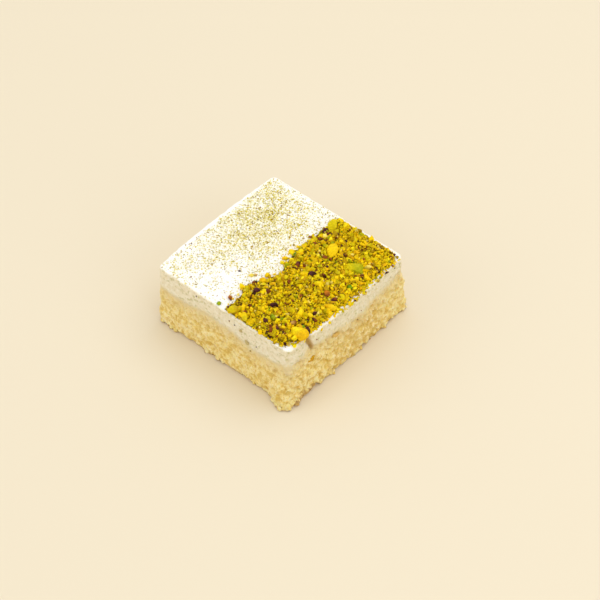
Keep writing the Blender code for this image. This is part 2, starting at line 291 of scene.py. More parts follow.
@dataclass(frozen=True)
class BedForm:
    """The ragged outline of the pistachio bed, by the rules that its solid follows."""

    edge_x: float = 0.0013
    far_x: float = 0.0392
    near_y: float = -0.0392
    far_y: float = 0.0376
    bare_corner: float = 0.0080
    bay: tuple[float, float, float] = (0.0043, -0.0055, 0.0070)
    spit: tuple[float, float, float] = (0.0030, -0.0225, 0.0050)
    ragged: float = 0.0009
    tooth: float = 0.0030

    def edge(self, y: float) -> float:
        """X of the bed's inner edge at a place along Y.

        Args:
            y: Place along Y.

        Returns:
            The place along X.
        """
        bay = self.bay[0] * bell(y - self.bay[1], self.bay[2])
        spit = self.spit[0] * bell(y - self.spit[1], self.spit[2])
        teeth = self.ragged * noise.noise(Vector((0.0, y / self.tooth, 0.5)))
        return self.edge_x + bay - spit + teeth

    def point(self, x: float, y: float) -> Vector:
        """Moves a point of the bed's plain rectangle to its uneven outline.

        Args:
            x: Place along X.
            y: Place along Y.

        Returns:
            The moved point, at height 0.
        """
        share = (x - self.edge_x) / (self.far_x - self.edge_x)
        ragged = self.ragged / 2 * noise.noise(Vector((x, y, 0.0)) / self.tooth)
        new_x = self.edge(y) * (1.0 - share) + (self.far_x + ragged) * share
        lack = max(self.bare_corner - (self.far_x - new_x) - (y - self.near_y), 0.0) / 2
        return Vector((new_x - lack, y + lack + ragged, 0.0))


class Graph:
    """A node tree that is being wired up, for shaders and geometry alike."""

    def __init__(self, tree: NodeTree) -> None:
        """Keeps the tree that the nodes go into."""
        self.tree = tree

    def plug(self, term: Term, socket: Socket) -> None:
        """Links a socket to the input, or writes a plain value on it.

        Args:
            term: The socket or the value.
            socket: The input.
        """
        if isinstance(term, Socket):
            self.tree.links.new(term, socket)
        else:
            socket.default_value = term

    def node(
        self, kind: str, terms: dict[str | int, Term] | None = None, **settings: object
    ) -> Node:
        """Adds a node.

        Args:
            kind: The node's type name.
            terms: What goes into its inputs, by name or by number.
            settings: Properties set on the node.

        Returns:
            The new node.
        """
        node = self.tree.nodes.new(kind)
        for name, value in settings.items():
            setattr(node, name, value)
        for key, term in (terms or {}).items():
            self.plug(term, node.inputs[key])
        return node

    def calc(self, operation: str, *terms: Term) -> Socket:
        """One step of arithmetic on numbers."""
        node = self.node("ShaderNodeMath", dict(enumerate(terms)), operation=operation)
        return node.outputs[0]

    def times(self, first: Term, second: Term) -> Socket:
        """Two numbers multiplied."""
        return self.calc("MULTIPLY", first, second)

    def vector(self, operation: str, *terms: Term) -> Socket:
        """One step of arithmetic on vectors."""
        node = self.node("ShaderNodeVectorMath", dict(enumerate(terms)), operation=operation)
        return node.outputs["Vector"]

    def scaled(self, vector: Term, factor: Term) -> Socket:
        """The vector times a number."""
        node = self.node("ShaderNodeVectorMath", {0: vector, "Scale": factor}, operation="SCALE")
        return node.outputs["Vector"]

    def length(self, vector: Term) -> Socket:
        """The length of a vector."""
        node = self.node("ShaderNodeVectorMath", {0: vector}, operation="LENGTH")
        return node.outputs["Value"]

    def axes(self, vector: Term) -> Sequence[Socket]:
        """A vector's X, Y and Z."""
        return self.node("ShaderNodeSeparateXYZ", {0: vector}).outputs

    def ramp(
        self, value: Term, low: Term, high: Term, start: Term = 0.0, end: Term = 1.0
    ) -> Socket:
        """Maps low..high smoothly onto start..end.

        Args:
            value: The number that is mapped.
            low: Where the rise begins.
            high: Where the rise ends.
            start: The result at low.
            end: The result at high.

        Returns:
            The socket with the result.
        """
        terms = {"Value": value, "From Min": low, "From Max": high, "To Min": start, "To Max": end}
        node = self.node("ShaderNodeMapRange", terms, interpolation_type="SMOOTHSTEP")
        return node.outputs["Result"]

    def blend(self, share: Term, below: Socket | Colour, above: Socket | Colour) -> Socket:
        """Mixes two colours.

        Args:
            share: 0 gives the first colour, 1 the second.
            below: The first colour.
            above: The second colour.

        Returns:
            The socket with the mixed colour.
        """
        first, second = (rgba(c) if isinstance(c, tuple) else c for c in (below, above))
        terms = {0: share, 6: first, 7: second}
        return self.node("ShaderNodeMix", terms, data_type="RGBA").outputs[2]

    def noise(
        self, vector: Term, scale: Term, detail: float = 2.0, rough: float = 0.5
    ) -> Socket:
        """Soft noise from 0 to 1.

        Args:
            vector: Where it is read.
            scale: Waves per unit of the vector.
            detail: How many finer layers it has.
            rough: How strong the finer layers are.

        Returns:
            The socket with the noise.
        """
        terms = {"Vector": vector, "Scale": scale, "Detail": detail, "Roughness": rough}
        return self.node("ShaderNodeTexNoise", terms).outputs[0]

    def cells(self, vector: Term, scale: Term, smooth: float = 0.0) -> Node:
        """Voronoi cells, rounded together where smooth is above 0.

        Args:
            vector: The coordinates.
            scale: Cells per unit.
            smooth: How far they are rounded together.

        Returns:
            The node.
        """
        terms = {"Vector": vector, "Scale": scale}
        feature = "SMOOTH_F1" if smooth else "F1"
        node = self.node("ShaderNodeTexVoronoi", terms, feature=feature)
        if smooth:
            node.inputs["Smoothness"].default_value = smooth
        return node


def rgba(colour: Colour) -> tuple[float, float, float, float]:
    """The colour with full opacity."""
    return (*colour, 1.0)


@dataclass(frozen=True)
class GroupSocket:
    """One input or output of a shader node group."""

    name: str
    kind: str
    value: float | None = None


def shader_group(
    name: str,
    inputs: Sequence[GroupSocket],
    output: GroupSocket,
    wire: Callable[[Graph, Node], Socket],
) -> NodeTree:
    """Builds a shader node group once.

    Args:
        name: The group's name.
        inputs: Its inputs.
        output: Its one output.
        wire: Wires the inside up and gives the socket that goes out.

    Returns:
        The group's tree.
    """
    if name in bpy.data.node_groups:
        return bpy.data.node_groups[name]
    tree = bpy.data.node_groups.new(name, "ShaderNodeTree")
    for item in inputs:
        socket = tree.interface.new_socket(item.name, in_out="INPUT", socket_type=item.kind)
        if item.value is not None:
            socket.default_value = item.value
    tree.interface.new_socket(output.name, in_out="OUTPUT", socket_type=output.kind)
    graph = Graph(tree)
    entry = graph.node("NodeGroupInput")
    leave = graph.node("NodeGroupOutput")
    graph.plug(wire(graph, entry), leave.inputs[0])
    return tree


FLOAT = "NodeSocketFloat"
VECTOR = "NodeSocketVector"
# Front corner, by whose upright edge the crumb gets a painted highlight.
FRONT_CORNER_MM = (40.0, -40.0, 25.0)
# Middle of the +X side, where the crumb gets a broad painted shade.
SHADED_PATCH_MM = (40.0, 6.0, 8.0)
DARK_FOOT_MM = (41.5, -31.0, 0.0)


def mottle_group() -> NodeTree:
    """Soft patches: a mask that drifts between 0 and 1 over patches of the given size in mm.

    Returns:
        The group.
    """

    def wire(graph: Graph, entry: Node) -> Socket:
        """Wires the group from its inputs to its one output."""
        scale = graph.calc("DIVIDE", 1.0, entry.outputs["Size"])
        patches = graph.noise(entry.outputs["Vector"], scale, detail=3.0, rough=0.55)
        half = graph.calc("DIVIDE", entry.outputs["Softness"], 2.0)
        middle = entry.outputs["Middle"]
        low = graph.calc("SUBTRACT", middle, half)
        return graph.ramp(patches, low, graph.calc("ADD", middle, half))

    inputs = (
        GroupSocket("Vector", VECTOR),
        GroupSocket("Size", FLOAT, 4.0),
        GroupSocket("Middle", FLOAT, 0.5),
        GroupSocket("Softness", FLOAT, 0.3),
    )
    return shader_group("food_mottle", inputs, GroupSocket("Mask", FLOAT), wire)


def powder_group() -> NodeTree:
    """Fine powder: a mask of specks under half a millimetre, more of them as Amount rises.

    Returns:
        The group.
    """

    def wire(graph: Graph, entry: Node) -> Socket:
        """Wires the group from its inputs to its one output."""
        vector = entry.outputs["Vector"]
        scale = graph.calc("DIVIDE", 1.0, entry.outputs["Size"])
        grains = graph.cells(vector, scale)
        dot = graph.ramp(grains.outputs["Distance"], 0.42, 0.22)
        pick = graph.axes(grains.outputs["Color"])[0]
        drift = graph.noise(vector, 0.35, detail=2.0)
        share = graph.times(entry.outputs["Amount"], graph.ramp(drift, 0.3, 0.65, 0.4))
        return graph.times(dot, graph.calc("LESS_THAN", pick, share))

    inputs = (
        GroupSocket("Vector", VECTOR),
        GroupSocket("Size", FLOAT, 0.5),
        GroupSocket("Amount", FLOAT, 0.3),
    )
    return shader_group("nut_powder", inputs, GroupSocket("Mask", FLOAT), wire)


def soak_group() -> NodeTree:
    """The ragged height in mm above the line between the layers, where cream has sunk in.

    Both layers read it, so their colours meet at the line.

    Returns:
        The group.
    """

    def wire(graph: Graph, entry: Node) -> Socket:
        """Wires the group from its inputs to its one output."""
        vector = entry.outputs["Vector"]
        slow = graph.calc("SUBTRACT", graph.noise(vector, 0.16, detail=1.0), 0.5)
        quick = graph.calc("SUBTRACT", graph.noise(vector, 0.7, detail=3.0, rough=0.6), 0.5)
        wander = graph.times(slow, entry.outputs["Wander"])
        ragged = graph.times(quick, entry.outputs["Ragged"])
        return graph.calc("ADD", entry.outputs["Depth"], graph.calc("ADD", wander, ragged))

    inputs = (
        GroupSocket("Vector", VECTOR),
        GroupSocket("Depth", FLOAT, 0.0),
        GroupSocket("Wander", FLOAT, 3.0),
        GroupSocket("Ragged", FLOAT, 3.0),
    )
    return shader_group("cream_soak", inputs, GroupSocket("Height", FLOAT), wire)


class Finish:
    """What every finish shares: a new material, its graph and its coordinates in mm."""

    name = "finish"

    def start(self) -> None:
        """Opens the material and reads its Object coordinates in millimetres."""
        self.material = bpy.data.materials.new(self.name)
        self.material.use_nodes = True
        self.graph = Graph(self.material.node_tree)
        self.shader = self.material.node_tree.nodes["Principled BSDF"]
        place = self.graph.node("ShaderNodeTexCoord").outputs["Object"]
        self.place_mm = self.graph.scaled(place, 1.0 / MM)
        self.x_mm, _, self.z_mm = self.graph.axes(self.place_mm)

    def group(self, tree: NodeTree, **terms: Term) -> Socket:
        """Places a shared group and gives its output.

        Args:
            tree: The group's tree.
            terms: What goes into its inputs other than Vector, by name.

        Returns:
            The group's output socket.
        """
        named = {"Vector": self.place_mm, **terms}
        return self.graph.node("ShaderNodeGroup", named, node_tree=tree).outputs[0]

    def attribute(self, name: str, output: str = "Fac") -> Socket:
        """Reads an attribute of the mesh."""
        return self.graph.node("ShaderNodeAttribute", attribute_name=name).outputs[output]

    def mottle(self, size: float, middle: float = 0.5, softness: float = 0.3) -> Socket:
        """Places the mottle group.

        Args:
            size: Size of a patch in mm.
            middle: Where the mask turns over.
            softness: How soft the patches' edges are.

        Returns:
            The mask.
        """
        return self.group(mottle_group(), Size=size, Middle=middle, Softness=softness)

    def patched(
        self,
        colour: Socket | Colour,
        patch: Colour,
        size: float,
        middle: float = 0.5,
        softness: float = 0.3,
        share: float = 1.0,
    ) -> Socket:
        """Lays soft patches of another colour over a colour.

        Args:
            colour: The colour below.
            patch: The patches' colour.
            size: Size of a patch in mm.
            middle: Where the patches begin: the higher, the fewer.
            softness: How soft their edges are.
            share: How strongly they cover what is below.

        Returns:
            The colour.
        """
        mask = self.graph.times(self.mottle(size, middle, softness), share)
        return self.graph.blend(mask, colour, patch)

    def powdered(
        self, colour: Socket, powder: Colour, size: float, amount: Term, share: float
    ) -> Socket:
        """Specks a colour with fine powder.

        Args:
            colour: The colour below.
            powder: The powder's colour.
            size: Size of its cells in mm.
            amount: How much of it there is, from 0 to 1.
            share: How strongly a speck covers what is below.

        Returns:
            The colour.
        """
        specks = self.graph.times(self.group(powder_group(), Size=size, Amount=amount), share)
        return self.graph.blend(specks, colour, powder)

    def away(self, place: Sequence[float], flat: bool = False) -> Socket:
        """Distance in mm from a place, or from the upright line through it where flat is set.

        Args:
            place: The place in mm.
            flat: Whether height is left out.

        Returns:
            The distance.
        """
        offset = self.graph.vector("SUBTRACT", self.place_mm, place)
        if flat:
            offset = self.graph.vector("MULTIPLY", offset, (1.0, 1.0, 0.0))
        return self.graph.length(offset)

    def torn_side(self, start: float, end: float) -> Socket:
        """Passes from start on the other sides to end on the torn +X side."""
        return self.graph.ramp(self.x_mm, 37.0, 40.0, start, end)

    def soaked(self, crumb: Socket | Colour, milk: Colour, cut: Socket) -> Socket:
        """Passes from crumb through milky crumb to cream, up across the line between them.

        Args:
            crumb: The crumb's colour well below the line.
            milk: The colour at the line, also a painted highlight by the front corner's edge.
            cut: The cream's colour above it.

        Returns:
            The colour.
        """
        graph = self.graph
        depth = self.attribute("depth")
        ragged = self.torn_side(3.6, 7.5)
        # Painted highlight: paler milk colour reaches further down along the front corner's
        # upright edge.
        corner = graph.ramp(self.away(FRONT_CORNER_MM, flat=True), 3.4, 0.6, 0.0, 3.2)
        height = self.group(soak_group(), Depth=depth, Wander=3.5, Ragged=ragged)
        milk_and_highlight = graph.calc("ADD", height, corner)
        deep = graph.blend(graph.ramp(milk_and_highlight, -11.0, -3.0, 0.0, 0.45), crumb, milk)
        near = graph.blend(graph.ramp(milk_and_highlight, -3.5, 0.0), deep, milk)
        return graph.blend(graph.ramp(height, -1.0, 1.8), near, cut)

    def surface(self, colour: Socket, patch_mm: float, rough: Span, gloss: float) -> None:
        """Gives the shader its colour, its patchy roughness and its gloss.

        Args:
            colour: The colour.
            patch_mm: Size in mm of the patches that differ in roughness.
            rough: Lowest and highest roughness.
            gloss: Specular level.
        """
        inputs = self.shader.inputs
        self.graph.plug(colour, inputs["Base Color"])
        roughness = self.graph.ramp(self.mottle(patch_mm), 0.0, 1.0, *rough)
        self.graph.plug(roughness, inputs["Roughness"])
        inputs["Specular IOR Level"].default_value = gloss

    def bump(self, height: Term, distance_mm: float) -> None:
        """Feeds the shader's normal from a height of 0 to 1 over the distance.

        Args:
            height: The height.
            distance_mm: How high 1 stands, in mm.
        """
        terms = {"Height": height, "Distance": distance_mm * MM, "Strength": 1.0}
        bump = self.graph.node("ShaderNodeBump", terms)
        self.graph.plug(bump.outputs["Normal"], self.shader.inputs["Normal"])

    def soften(self, weight: float, radius_mm: Colour) -> None:
        """Lets light scatter under the surface.

        Args:
            weight: How much of it does.
            radius_mm: How far red, green and blue reach, in mm.
        """
        self.shader.inputs["Subsurface Weight"].default_value = weight
        self.shader.inputs["Subsurface Radius"].default_value = radius_mm
        self.shader.inputs["Subsurface Scale"].default_value = MM


@dataclass(frozen=True)
class SeamColours:
    """What both layers show where they meet, and the brown paste and painted shade in the notch
    through them.
    """

    cut: Colour = linear(234, 222, 192)
    torn: Colour = linear(226, 213, 178)
    milk: Colour = linear(234, 213, 160)
    # Nut paste darkened by painted shade, laid in the notch.
    paste: Colour = linear(182, 144, 74)


@dataclass(frozen=True)
class CreamColours(SeamColours):
    """Whipped cream, and the ground nut that dusts it."""

    cream: Colour = linear(250, 248, 243)
    fluff: Colour = linear(246, 239, 220)
    # Painted shade: the darker patches for the shade in the cut cream's small hollows.
    hollow_shade: Colour = linear(214, 197, 155)
    crumb: Colour = linear(238, 208, 132)
    haze: Colour = linear(250, 239, 194)
    powder: Colour = linear(206, 190, 84)
    smudge: Colour = linear(192, 184, 124)


@dataclass(frozen=True)
class CrumbColours(SeamColours):
    """Milk-soaked yellow crumb."""

    # Painted highlight: paler colour laid on the tops of the crumb's raised lumps.
    crest_highlight: Colour = linear(255, 238, 184)
    pale: Colour = linear(252, 231, 162)
    gold: Colour = linear(248, 220, 134)
    # deep is the crumb's deeper golden tone in its patches, and also painted shade in crevices,
    # pinholes and the middle of the +X side.
    deep: Colour = linear(220, 180, 76)
    # Painted shade: the darker colour laid in the pits sunk into the crumb.
    pit_shade: Colour = linear(200, 150, 64)
    foot_brown: Colour = linear(172, 122, 54)
    powder: Colour = linear(160, 140, 60)


class CrumbFinish(Finish):
    """The sponge: pale and golden patches, pores darkened as painted shade, cream soaked into its
    top.
    """

    name = "soaked_crumb"

    def __init__(self, colours: CrumbColours) -> None:
        """Keeps the crumb's colours."""
        self.colours = colours

    def build(self) -> Material:
        """Makes the material.

        Returns:
            The finished material.
        """
        self.start()
        graph, tones = self.graph, self.colours
        rise = self.attribute("rise")
        # Painted shade: fine darker specks for the shade inside the crumb's tiny holes.
        pinhole_shade = graph.noise(self.place_mm, 1.4)
        colour = self.patched(tones.pale, tones.gold, size=4.5, softness=0.35)
        colour = self.patched(colour, tones.deep, 2.4, middle=0.57, softness=0.2, share=0.7)
        for share, tone in (
            # Painted shade: a broad darkening of the middle of the +X side.
            (graph.ramp(self.away(SHADED_PATCH_MM), 26.0, 10.0, 0.0, 0.42), tones.deep),
            # Painted highlight on the tops of the lumps, by the stored rise.
            (graph.ramp(rise, 0.52, 0.80, 0.0, 0.8), tones.crest_highlight),
            # Painted shade: the crevices between the lumps, by the stored rise.
            (graph.ramp(rise, 0.50, 0.20, 0.0, 0.8), tones.deep),
            (graph.ramp(pinhole_shade, 0.44, 0.30, 0.0, 0.75), tones.deep),
            # Painted shade in the sunk pits.
            (graph.times(self.attribute("pit"), 0.4), tones.pit_shade),
        ):
            colour = graph.blend(share, colour, tone)
        cut = graph.blend(self.torn_side(0.0, 0.8), tones.cut, tones.torn)
        colour = self.soaked(colour, tones.milk, cut)
        # Nut paste and painted shade in the notch.
        colour = graph.blend(self.attribute("paste"), colour, tones.paste)
        # Darker brown towards the foot, reaching higher by the foot of the +X side near the front
        # corner.
        low = graph.calc("MULTIPLY_ADD", self.mottle(2.0), -0.9, self.z_mm)
        front_foot_reach = graph.ramp(self.away(DARK_FOOT_MM), 12.0, 5.0, 0.0, 2.7)
        foot_darkening = graph.ramp(graph.calc("SUBTRACT", low, front_foot_reach), 0.7, -0.3, 0.0, 0.62)
        colour = graph.blend(foot_darkening, colour, tones.foot_brown)
        colour = self.powdered(colour, tones.powder, size=0.6, amount=0.05, share=0.6)
        self.surface(colour, patch_mm=3.0, rough=(0.50, 0.72), gloss=0.35)
        fine = graph.noise(self.place_mm, 2.0, detail=4.0, rough=0.7)
        cups = graph.times(graph.cells(self.place_mm, 1.3).outputs["Distance"], -0.35)
        self.bump(graph.calc("ADD", fine, cups), 0.5)
        self.soften(0.20, (2.0, 1.3, 0.5))
        return self.material


class CreamFinish(Finish):
    """The whipped cream: white top, greyer cut sides, fine powder in the cream."""

    name = "whipped_cream"

    def __init__(self, colours: CreamColours) -> None:
        """Keeps the cream's colours."""
        self.colours = colours

    def build(self) -> Material:
        """Makes the material.

        Returns:
            The finished material.
        """
        self.start()
        graph, tones = self.graph, self.colours
        side = self.attribute("side")
        cut = graph.blend(self.torn_side(0.0, 0.8), tones.cut, tones.torn)
        cut = self.patched(cut, tones.fluff, 2.2, middle=0.53, softness=0.25, share=0.5)
        # Painted shade: darker patches for the cut cream's small hollows.
        cut = self.patched(cut, tones.hollow_shade, 1.2, middle=0.57, softness=0.2, share=0.4)
        cut = self.patched(cut, tones.smudge, 1.8, middle=0.60, softness=0.14, share=0.75)
        colour = graph.blend(side, tones.cream, self.soaked(tones.crumb, tones.milk, cut))
        # Nut paste and painted shade in the notch.
        colour = graph.blend(self.attribute("paste"), colour, tones.paste)
        dust = self.attribute("dust")
        haze = graph.times(graph.ramp(dust, 0.0, 0.9), self.mottle(1.4, 0.45, 0.5))
        colour = graph.blend(haze, colour, tones.haze)
        amount = graph.ramp(dust, 0.0, 1.0, 0.03, 0.5)
        colour = self.powdered(colour, tones.powder, size=0.55, amount=amount, share=0.75)
        self.surface(colour, patch_mm=4.0, rough=(0.42, 0.56), gloss=0.4)
        stretch = graph.vector("MULTIPLY", self.place_mm, (1.0, 1.0, 0.14))
        drag = graph.times(graph.noise(stretch, 1.1, detail=3.0), side)
        coarse = graph.calc("MULTIPLY_ADD", side, 0.8, 0.4)
        grain = graph.times(graph.noise(self.place_mm, 1.6, detail=3.0), coarse)
        self.bump(graph.calc("ADD", drag, grain), 0.22)
        self.soften(0.35, (2.0, 1.8, 1.4))
        return self.material


class NutFinish(Finish):
    """Chopped nut: each piece keeps the tint on its mesh, mottled and a little skinned."""

    name = "chopped_pistachio"

    def build(self) -> Material:
        """Makes the material.

        Returns:
            The finished material.
        """
        self.start()
        light = self.graph.ramp(self.mottle(1.1, 0.5, 0.4), 0.0, 1.0, 0.86, 1.10)
        colour = self.graph.scaled(self.attribute("tint", "Color"), light)
        self.surface(colour, patch_mm=2.0, rough=(0.45, 0.7), gloss=0.12)
        self.bump(self.graph.noise(self.place_mm, 2.0), 0.14)
        self.soften(0.12, (1.2, 1.0, 0.3))
        return self.material


def gridded_block(columns: int, rows: int, fine_top: bool) -> BMesh:
    """A block from -1 to 1 in X and Y and 0 to 1 in Z, its walls gridded.

    Args:
        columns: Cells along each wall.
        rows: Cells up each wall.
        fine_top: Whether the top is gridded too, or left as one face.

    Returns:
        The closed mesh.
    """
    bm = bmesh.new()
    upright = Matrix.Translation((0.0, -1.0, 0.5)) @ Matrix.Rotation(math.pi / 2, 4, "X")
    upright = upright @ Matrix.Diagonal((1.0, 0.5, 1.0, 1.0))
    for turn in range(4):
        matrix = Matrix.Rotation(turn * math.pi / 2, 4, "Z") @ upright
        bmesh.ops.create_grid(bm, x_segments=columns, y_segments=rows, size=1.0, matrix=matrix)
    if fine_top:
        matrix = Matrix.Translation((0.0, 0.0, 1.0))
        bmesh.ops.create_grid(bm, x_segments=columns, y_segments=columns, size=1.0, matrix=matrix)
    bmesh.ops.remove_doubles(bm, verts=bm.verts, dist=1e-5)
    rims = [edge for edge in bm.edges if edge.is_boundary]
    bmesh.ops.holes_fill(bm, edges=rims, sides=0)
    bmesh.ops.recalc_face_normals(bm, faces=bm.faces)
    return bm


def ring_face(bm: BMesh, top: bool, share: float) -> None:
    """Sets a smaller copy of the top or bottom face inside it, joined by a ring.

    Args:
        bm: The block.
        top: Whether the top face or the bottom face gets the ring.
        share: Size of the inner loop against the outer one.
    """
    sign = 1.0 if top else -1.0
    face = max(bm.faces, key=lambda f: (f.normal.z * sign > 0.9, f.calc_area()))
    bmesh.ops.inset_region(bm, faces=[face], thickness=0.0, use_boundary=True)
    for vert in face.verts:
        vert.co.x *= share
        vert.co.y *= share


def add_object(name: str, mesh: Mesh) -> Object:
    """Puts a mesh into the scene under the piece's name.

    Args:
        name: The piece's name.
        mesh: Its mesh.

    Returns:
        The new object.
    """
    mesh.name = name
    obj = bpy.data.objects.new(name, mesh)
    bpy.context.scene.collection.objects.link(obj)
    return obj


def mesh_of(bm: BMesh, name: str) -> Mesh:
    """Turns the finished bmesh into a mesh.

    Args:
        bm: The bmesh, which is freed.
        name: The mesh's name.

    Returns:
        The mesh.
    """
    mesh = bpy.data.meshes.new(name)
    bm.to_mesh(mesh)
    bm.free()
    return mesh


class GeometryTree(Graph):
    """A Geometry Nodes tree with a geometry input, a material input and named sizes."""

    def __init__(self, name: str, sizes: dict[str, float]) -> None:
        """Opens the tree and its sockets.

        Args:
            name: The tree's name.
            sizes: Names and values of its inputs.
        """
        super().__init__(bpy.data.node_groups.new(name, "GeometryNodeTree"))
        face = self.tree.interface
        face.new_socket("Geometry", in_out="INPUT", socket_type="NodeSocketGeometry")
        face.new_socket("Material", in_out="INPUT", socket_type="NodeSocketMaterial")
        self.values = dict(sizes)
        for size in sizes:
            face.new_socket(size, in_out="INPUT", socket_type=FLOAT)
        face.new_socket("Geometry", in_out="OUTPUT", socket_type="NodeSocketGeometry")
        self.entry = self.node("NodeGroupInput")
        self.geometry = self.entry.outputs["Geometry"]
        self.place_mm = self.scaled(self.node("GeometryNodeInputPosition").outputs[0], 1.0 / MM)
        self.normal = self.node("GeometryNodeInputNormal").outputs[0]

    def size(self, name: str) -> Socket:
        """The socket of a named size."""
        return self.entry.outputs[name]

    def chance(self, low: float, high: float, seed: int) -> Socket:
        """A random number for each element."""
        node = self.node("FunctionNodeRandomValue", {2: low, 3: high, 8: seed}, data_type="FLOAT")
        return node.outputs[1]

    def named(self, name: str) -> Socket:
        """Reads a number stored on the mesh."""
        terms = {"Name": name}
        return self.node("GeometryNodeInputNamedAttribute", terms, data_type="FLOAT").outputs[0]

    def chances(self, low: Sequence[float], high: Sequence[float], seed: int) -> Socket:
        """A random vector for each element.

        Args:
            low: Lowest values.
            high: Highest values.
            seed: Seed of the draw.

        Returns:
            The socket with the vector.
        """
        terms = {0: low, 1: high, 8: seed}
        node = self.node("FunctionNodeRandomValue", terms, data_type="FLOAT_VECTOR")
        return node.outputs[0]

    def store(self, geometry: Term, name: str, value: Term, kind: str, domain: str) -> Socket:
        """Keeps a value on the geometry under a name.

        Args:
            geometry: The geometry.
            name: The attribute's name.
            value: The value.
            kind: FLOAT or FLOAT_COLOR.
            domain: POINT or INSTANCE.

        Returns:
            The geometry with the attribute.
        """
        terms = {"Geometry": geometry, "Name": name, "Value": value}
        node = self.node("GeometryNodeStoreNamedAttribute", terms, data_type=kind, domain=domain)
        return node.outputs[0]

    def pushed(self, geometry: Term, offset: Term) -> Socket:
        """The geometry with its points moved by the offset."""
        terms = {"Geometry": geometry, "Offset": offset}
        return self.node("GeometryNodeSetPosition", terms).outputs[0]

    def wobbled(self, geometry: Term, waves: Term, detail: float, amount: Term) -> Socket:
        """Pushes the geometry's points about by noise, so that nothing on it stays even.

        Args:
            geometry: The geometry.
            waves: Waves of the noise per millimetre.
            detail: How many finer layers it has.
            amount: How far it pushes.

        Returns:
            The uneven geometry.
        """
        terms = {"Vector": self.place_mm, "Scale": waves, "Detail": detail}
        drift = self.node("ShaderNodeTexNoise", terms).outputs["Color"]
        shift = self.vector("SUBTRACT", drift, (0.5, 0.5, 0.5))
        return self.pushed(geometry, self.scaled(shift, amount))

    def scattered(self, terms: dict[str, Term], method: str = "RANDOM") -> Socket:
        """Points strewn over the faces of what the tree is given.

        Args:
            terms: Density, seed and the other inputs.
            method: RANDOM or POISSON, which keeps points apart.

        Returns:
            The points.
        """
        terms = {"Mesh": self.geometry, **terms}
        node = self.node("GeometryNodeDistributePointsOnFaces", terms, distribute_method=method)
        return node.outputs["Points"]

    def leave(self, geometry: Term, smooth: bool) -> None:
        """Ends the tree: instances realized, shading and material set.

        Args:
            geometry: What the tree gives out.
            smooth: Whether it is shaded smooth.
        """
        real = self.node("GeometryNodeRealizeInstances", {0: geometry}).outputs[0]
        terms = {"Geometry": real, "Shade Smooth": smooth}
        shaded = self.node("GeometryNodeSetShadeSmooth", terms).outputs[0]
        terms = {"Geometry": shaded, "Material": self.entry.outputs["Material"]}
        painted = self.node("GeometryNodeSetMaterial", terms).outputs[0]
        self.plug(painted, self.node("NodeGroupOutput").inputs[0])

    def grow(self, name: str, host: Mesh, material: Material) -> Object:
        """Runs the tree on a mesh and keeps the result as a plain mesh object.

        Args:
            name: The new piece's name.
            host: The mesh that the tree starts from.
            material: The finish of what it makes.

        Returns:
            The new object, without any modifier.
        """
        holder = add_object(name + "_host", host.copy())
        modifier = holder.modifiers.new(name, "NODES")
        modifier.node_group = self.tree
        values = {**self.values, "Material": material}
        for item in self.tree.interface.items_tree:
            if item.in_out == "INPUT" and item.name in values:
                modifier[item.identifier] = values[item.name]
        graph = bpy.context.evaluated_depsgraph_get()
        mesh = bpy.data.meshes.new_from_object(
            holder.evaluated_get(graph), preserve_all_data_layers=True, depsgraph=graph
        )
        holder_mesh = holder.data
        bpy.data.objects.remove(holder)
        bpy.data.meshes.remove(holder_mesh)
        return add_object(name, mesh)


def settle(obj: Object, replaced: str | None = None) -> None:
    """Joins a finished piece to the part.

    Args:
        obj: The piece.
        replaced: The CAD node that it stands for, if any.
    """
    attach(obj, BODY)
    if replaced:
        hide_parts(replaced)
    LOG.info("%s: %d faces", obj.name, len(obj.data.polygons))


def write_marks(mesh: Mesh, names: Sequence[str], rows: Sequence[Sequence[float]]) -> None:
    """Stores a row of named numbers for each vertex."""
    for name, column in zip(names, zip(*rows)):
        mesh.attributes.new(name, "FLOAT", "POINT").data.foreach_set("value", column)


def rest_on_floor(mesh: Mesh) -> None:
    """Lifts every point that lies below the floor onto it."""
    for vert in mesh.vertices:
        vert.co.z = max(vert.co.z, 0.0)


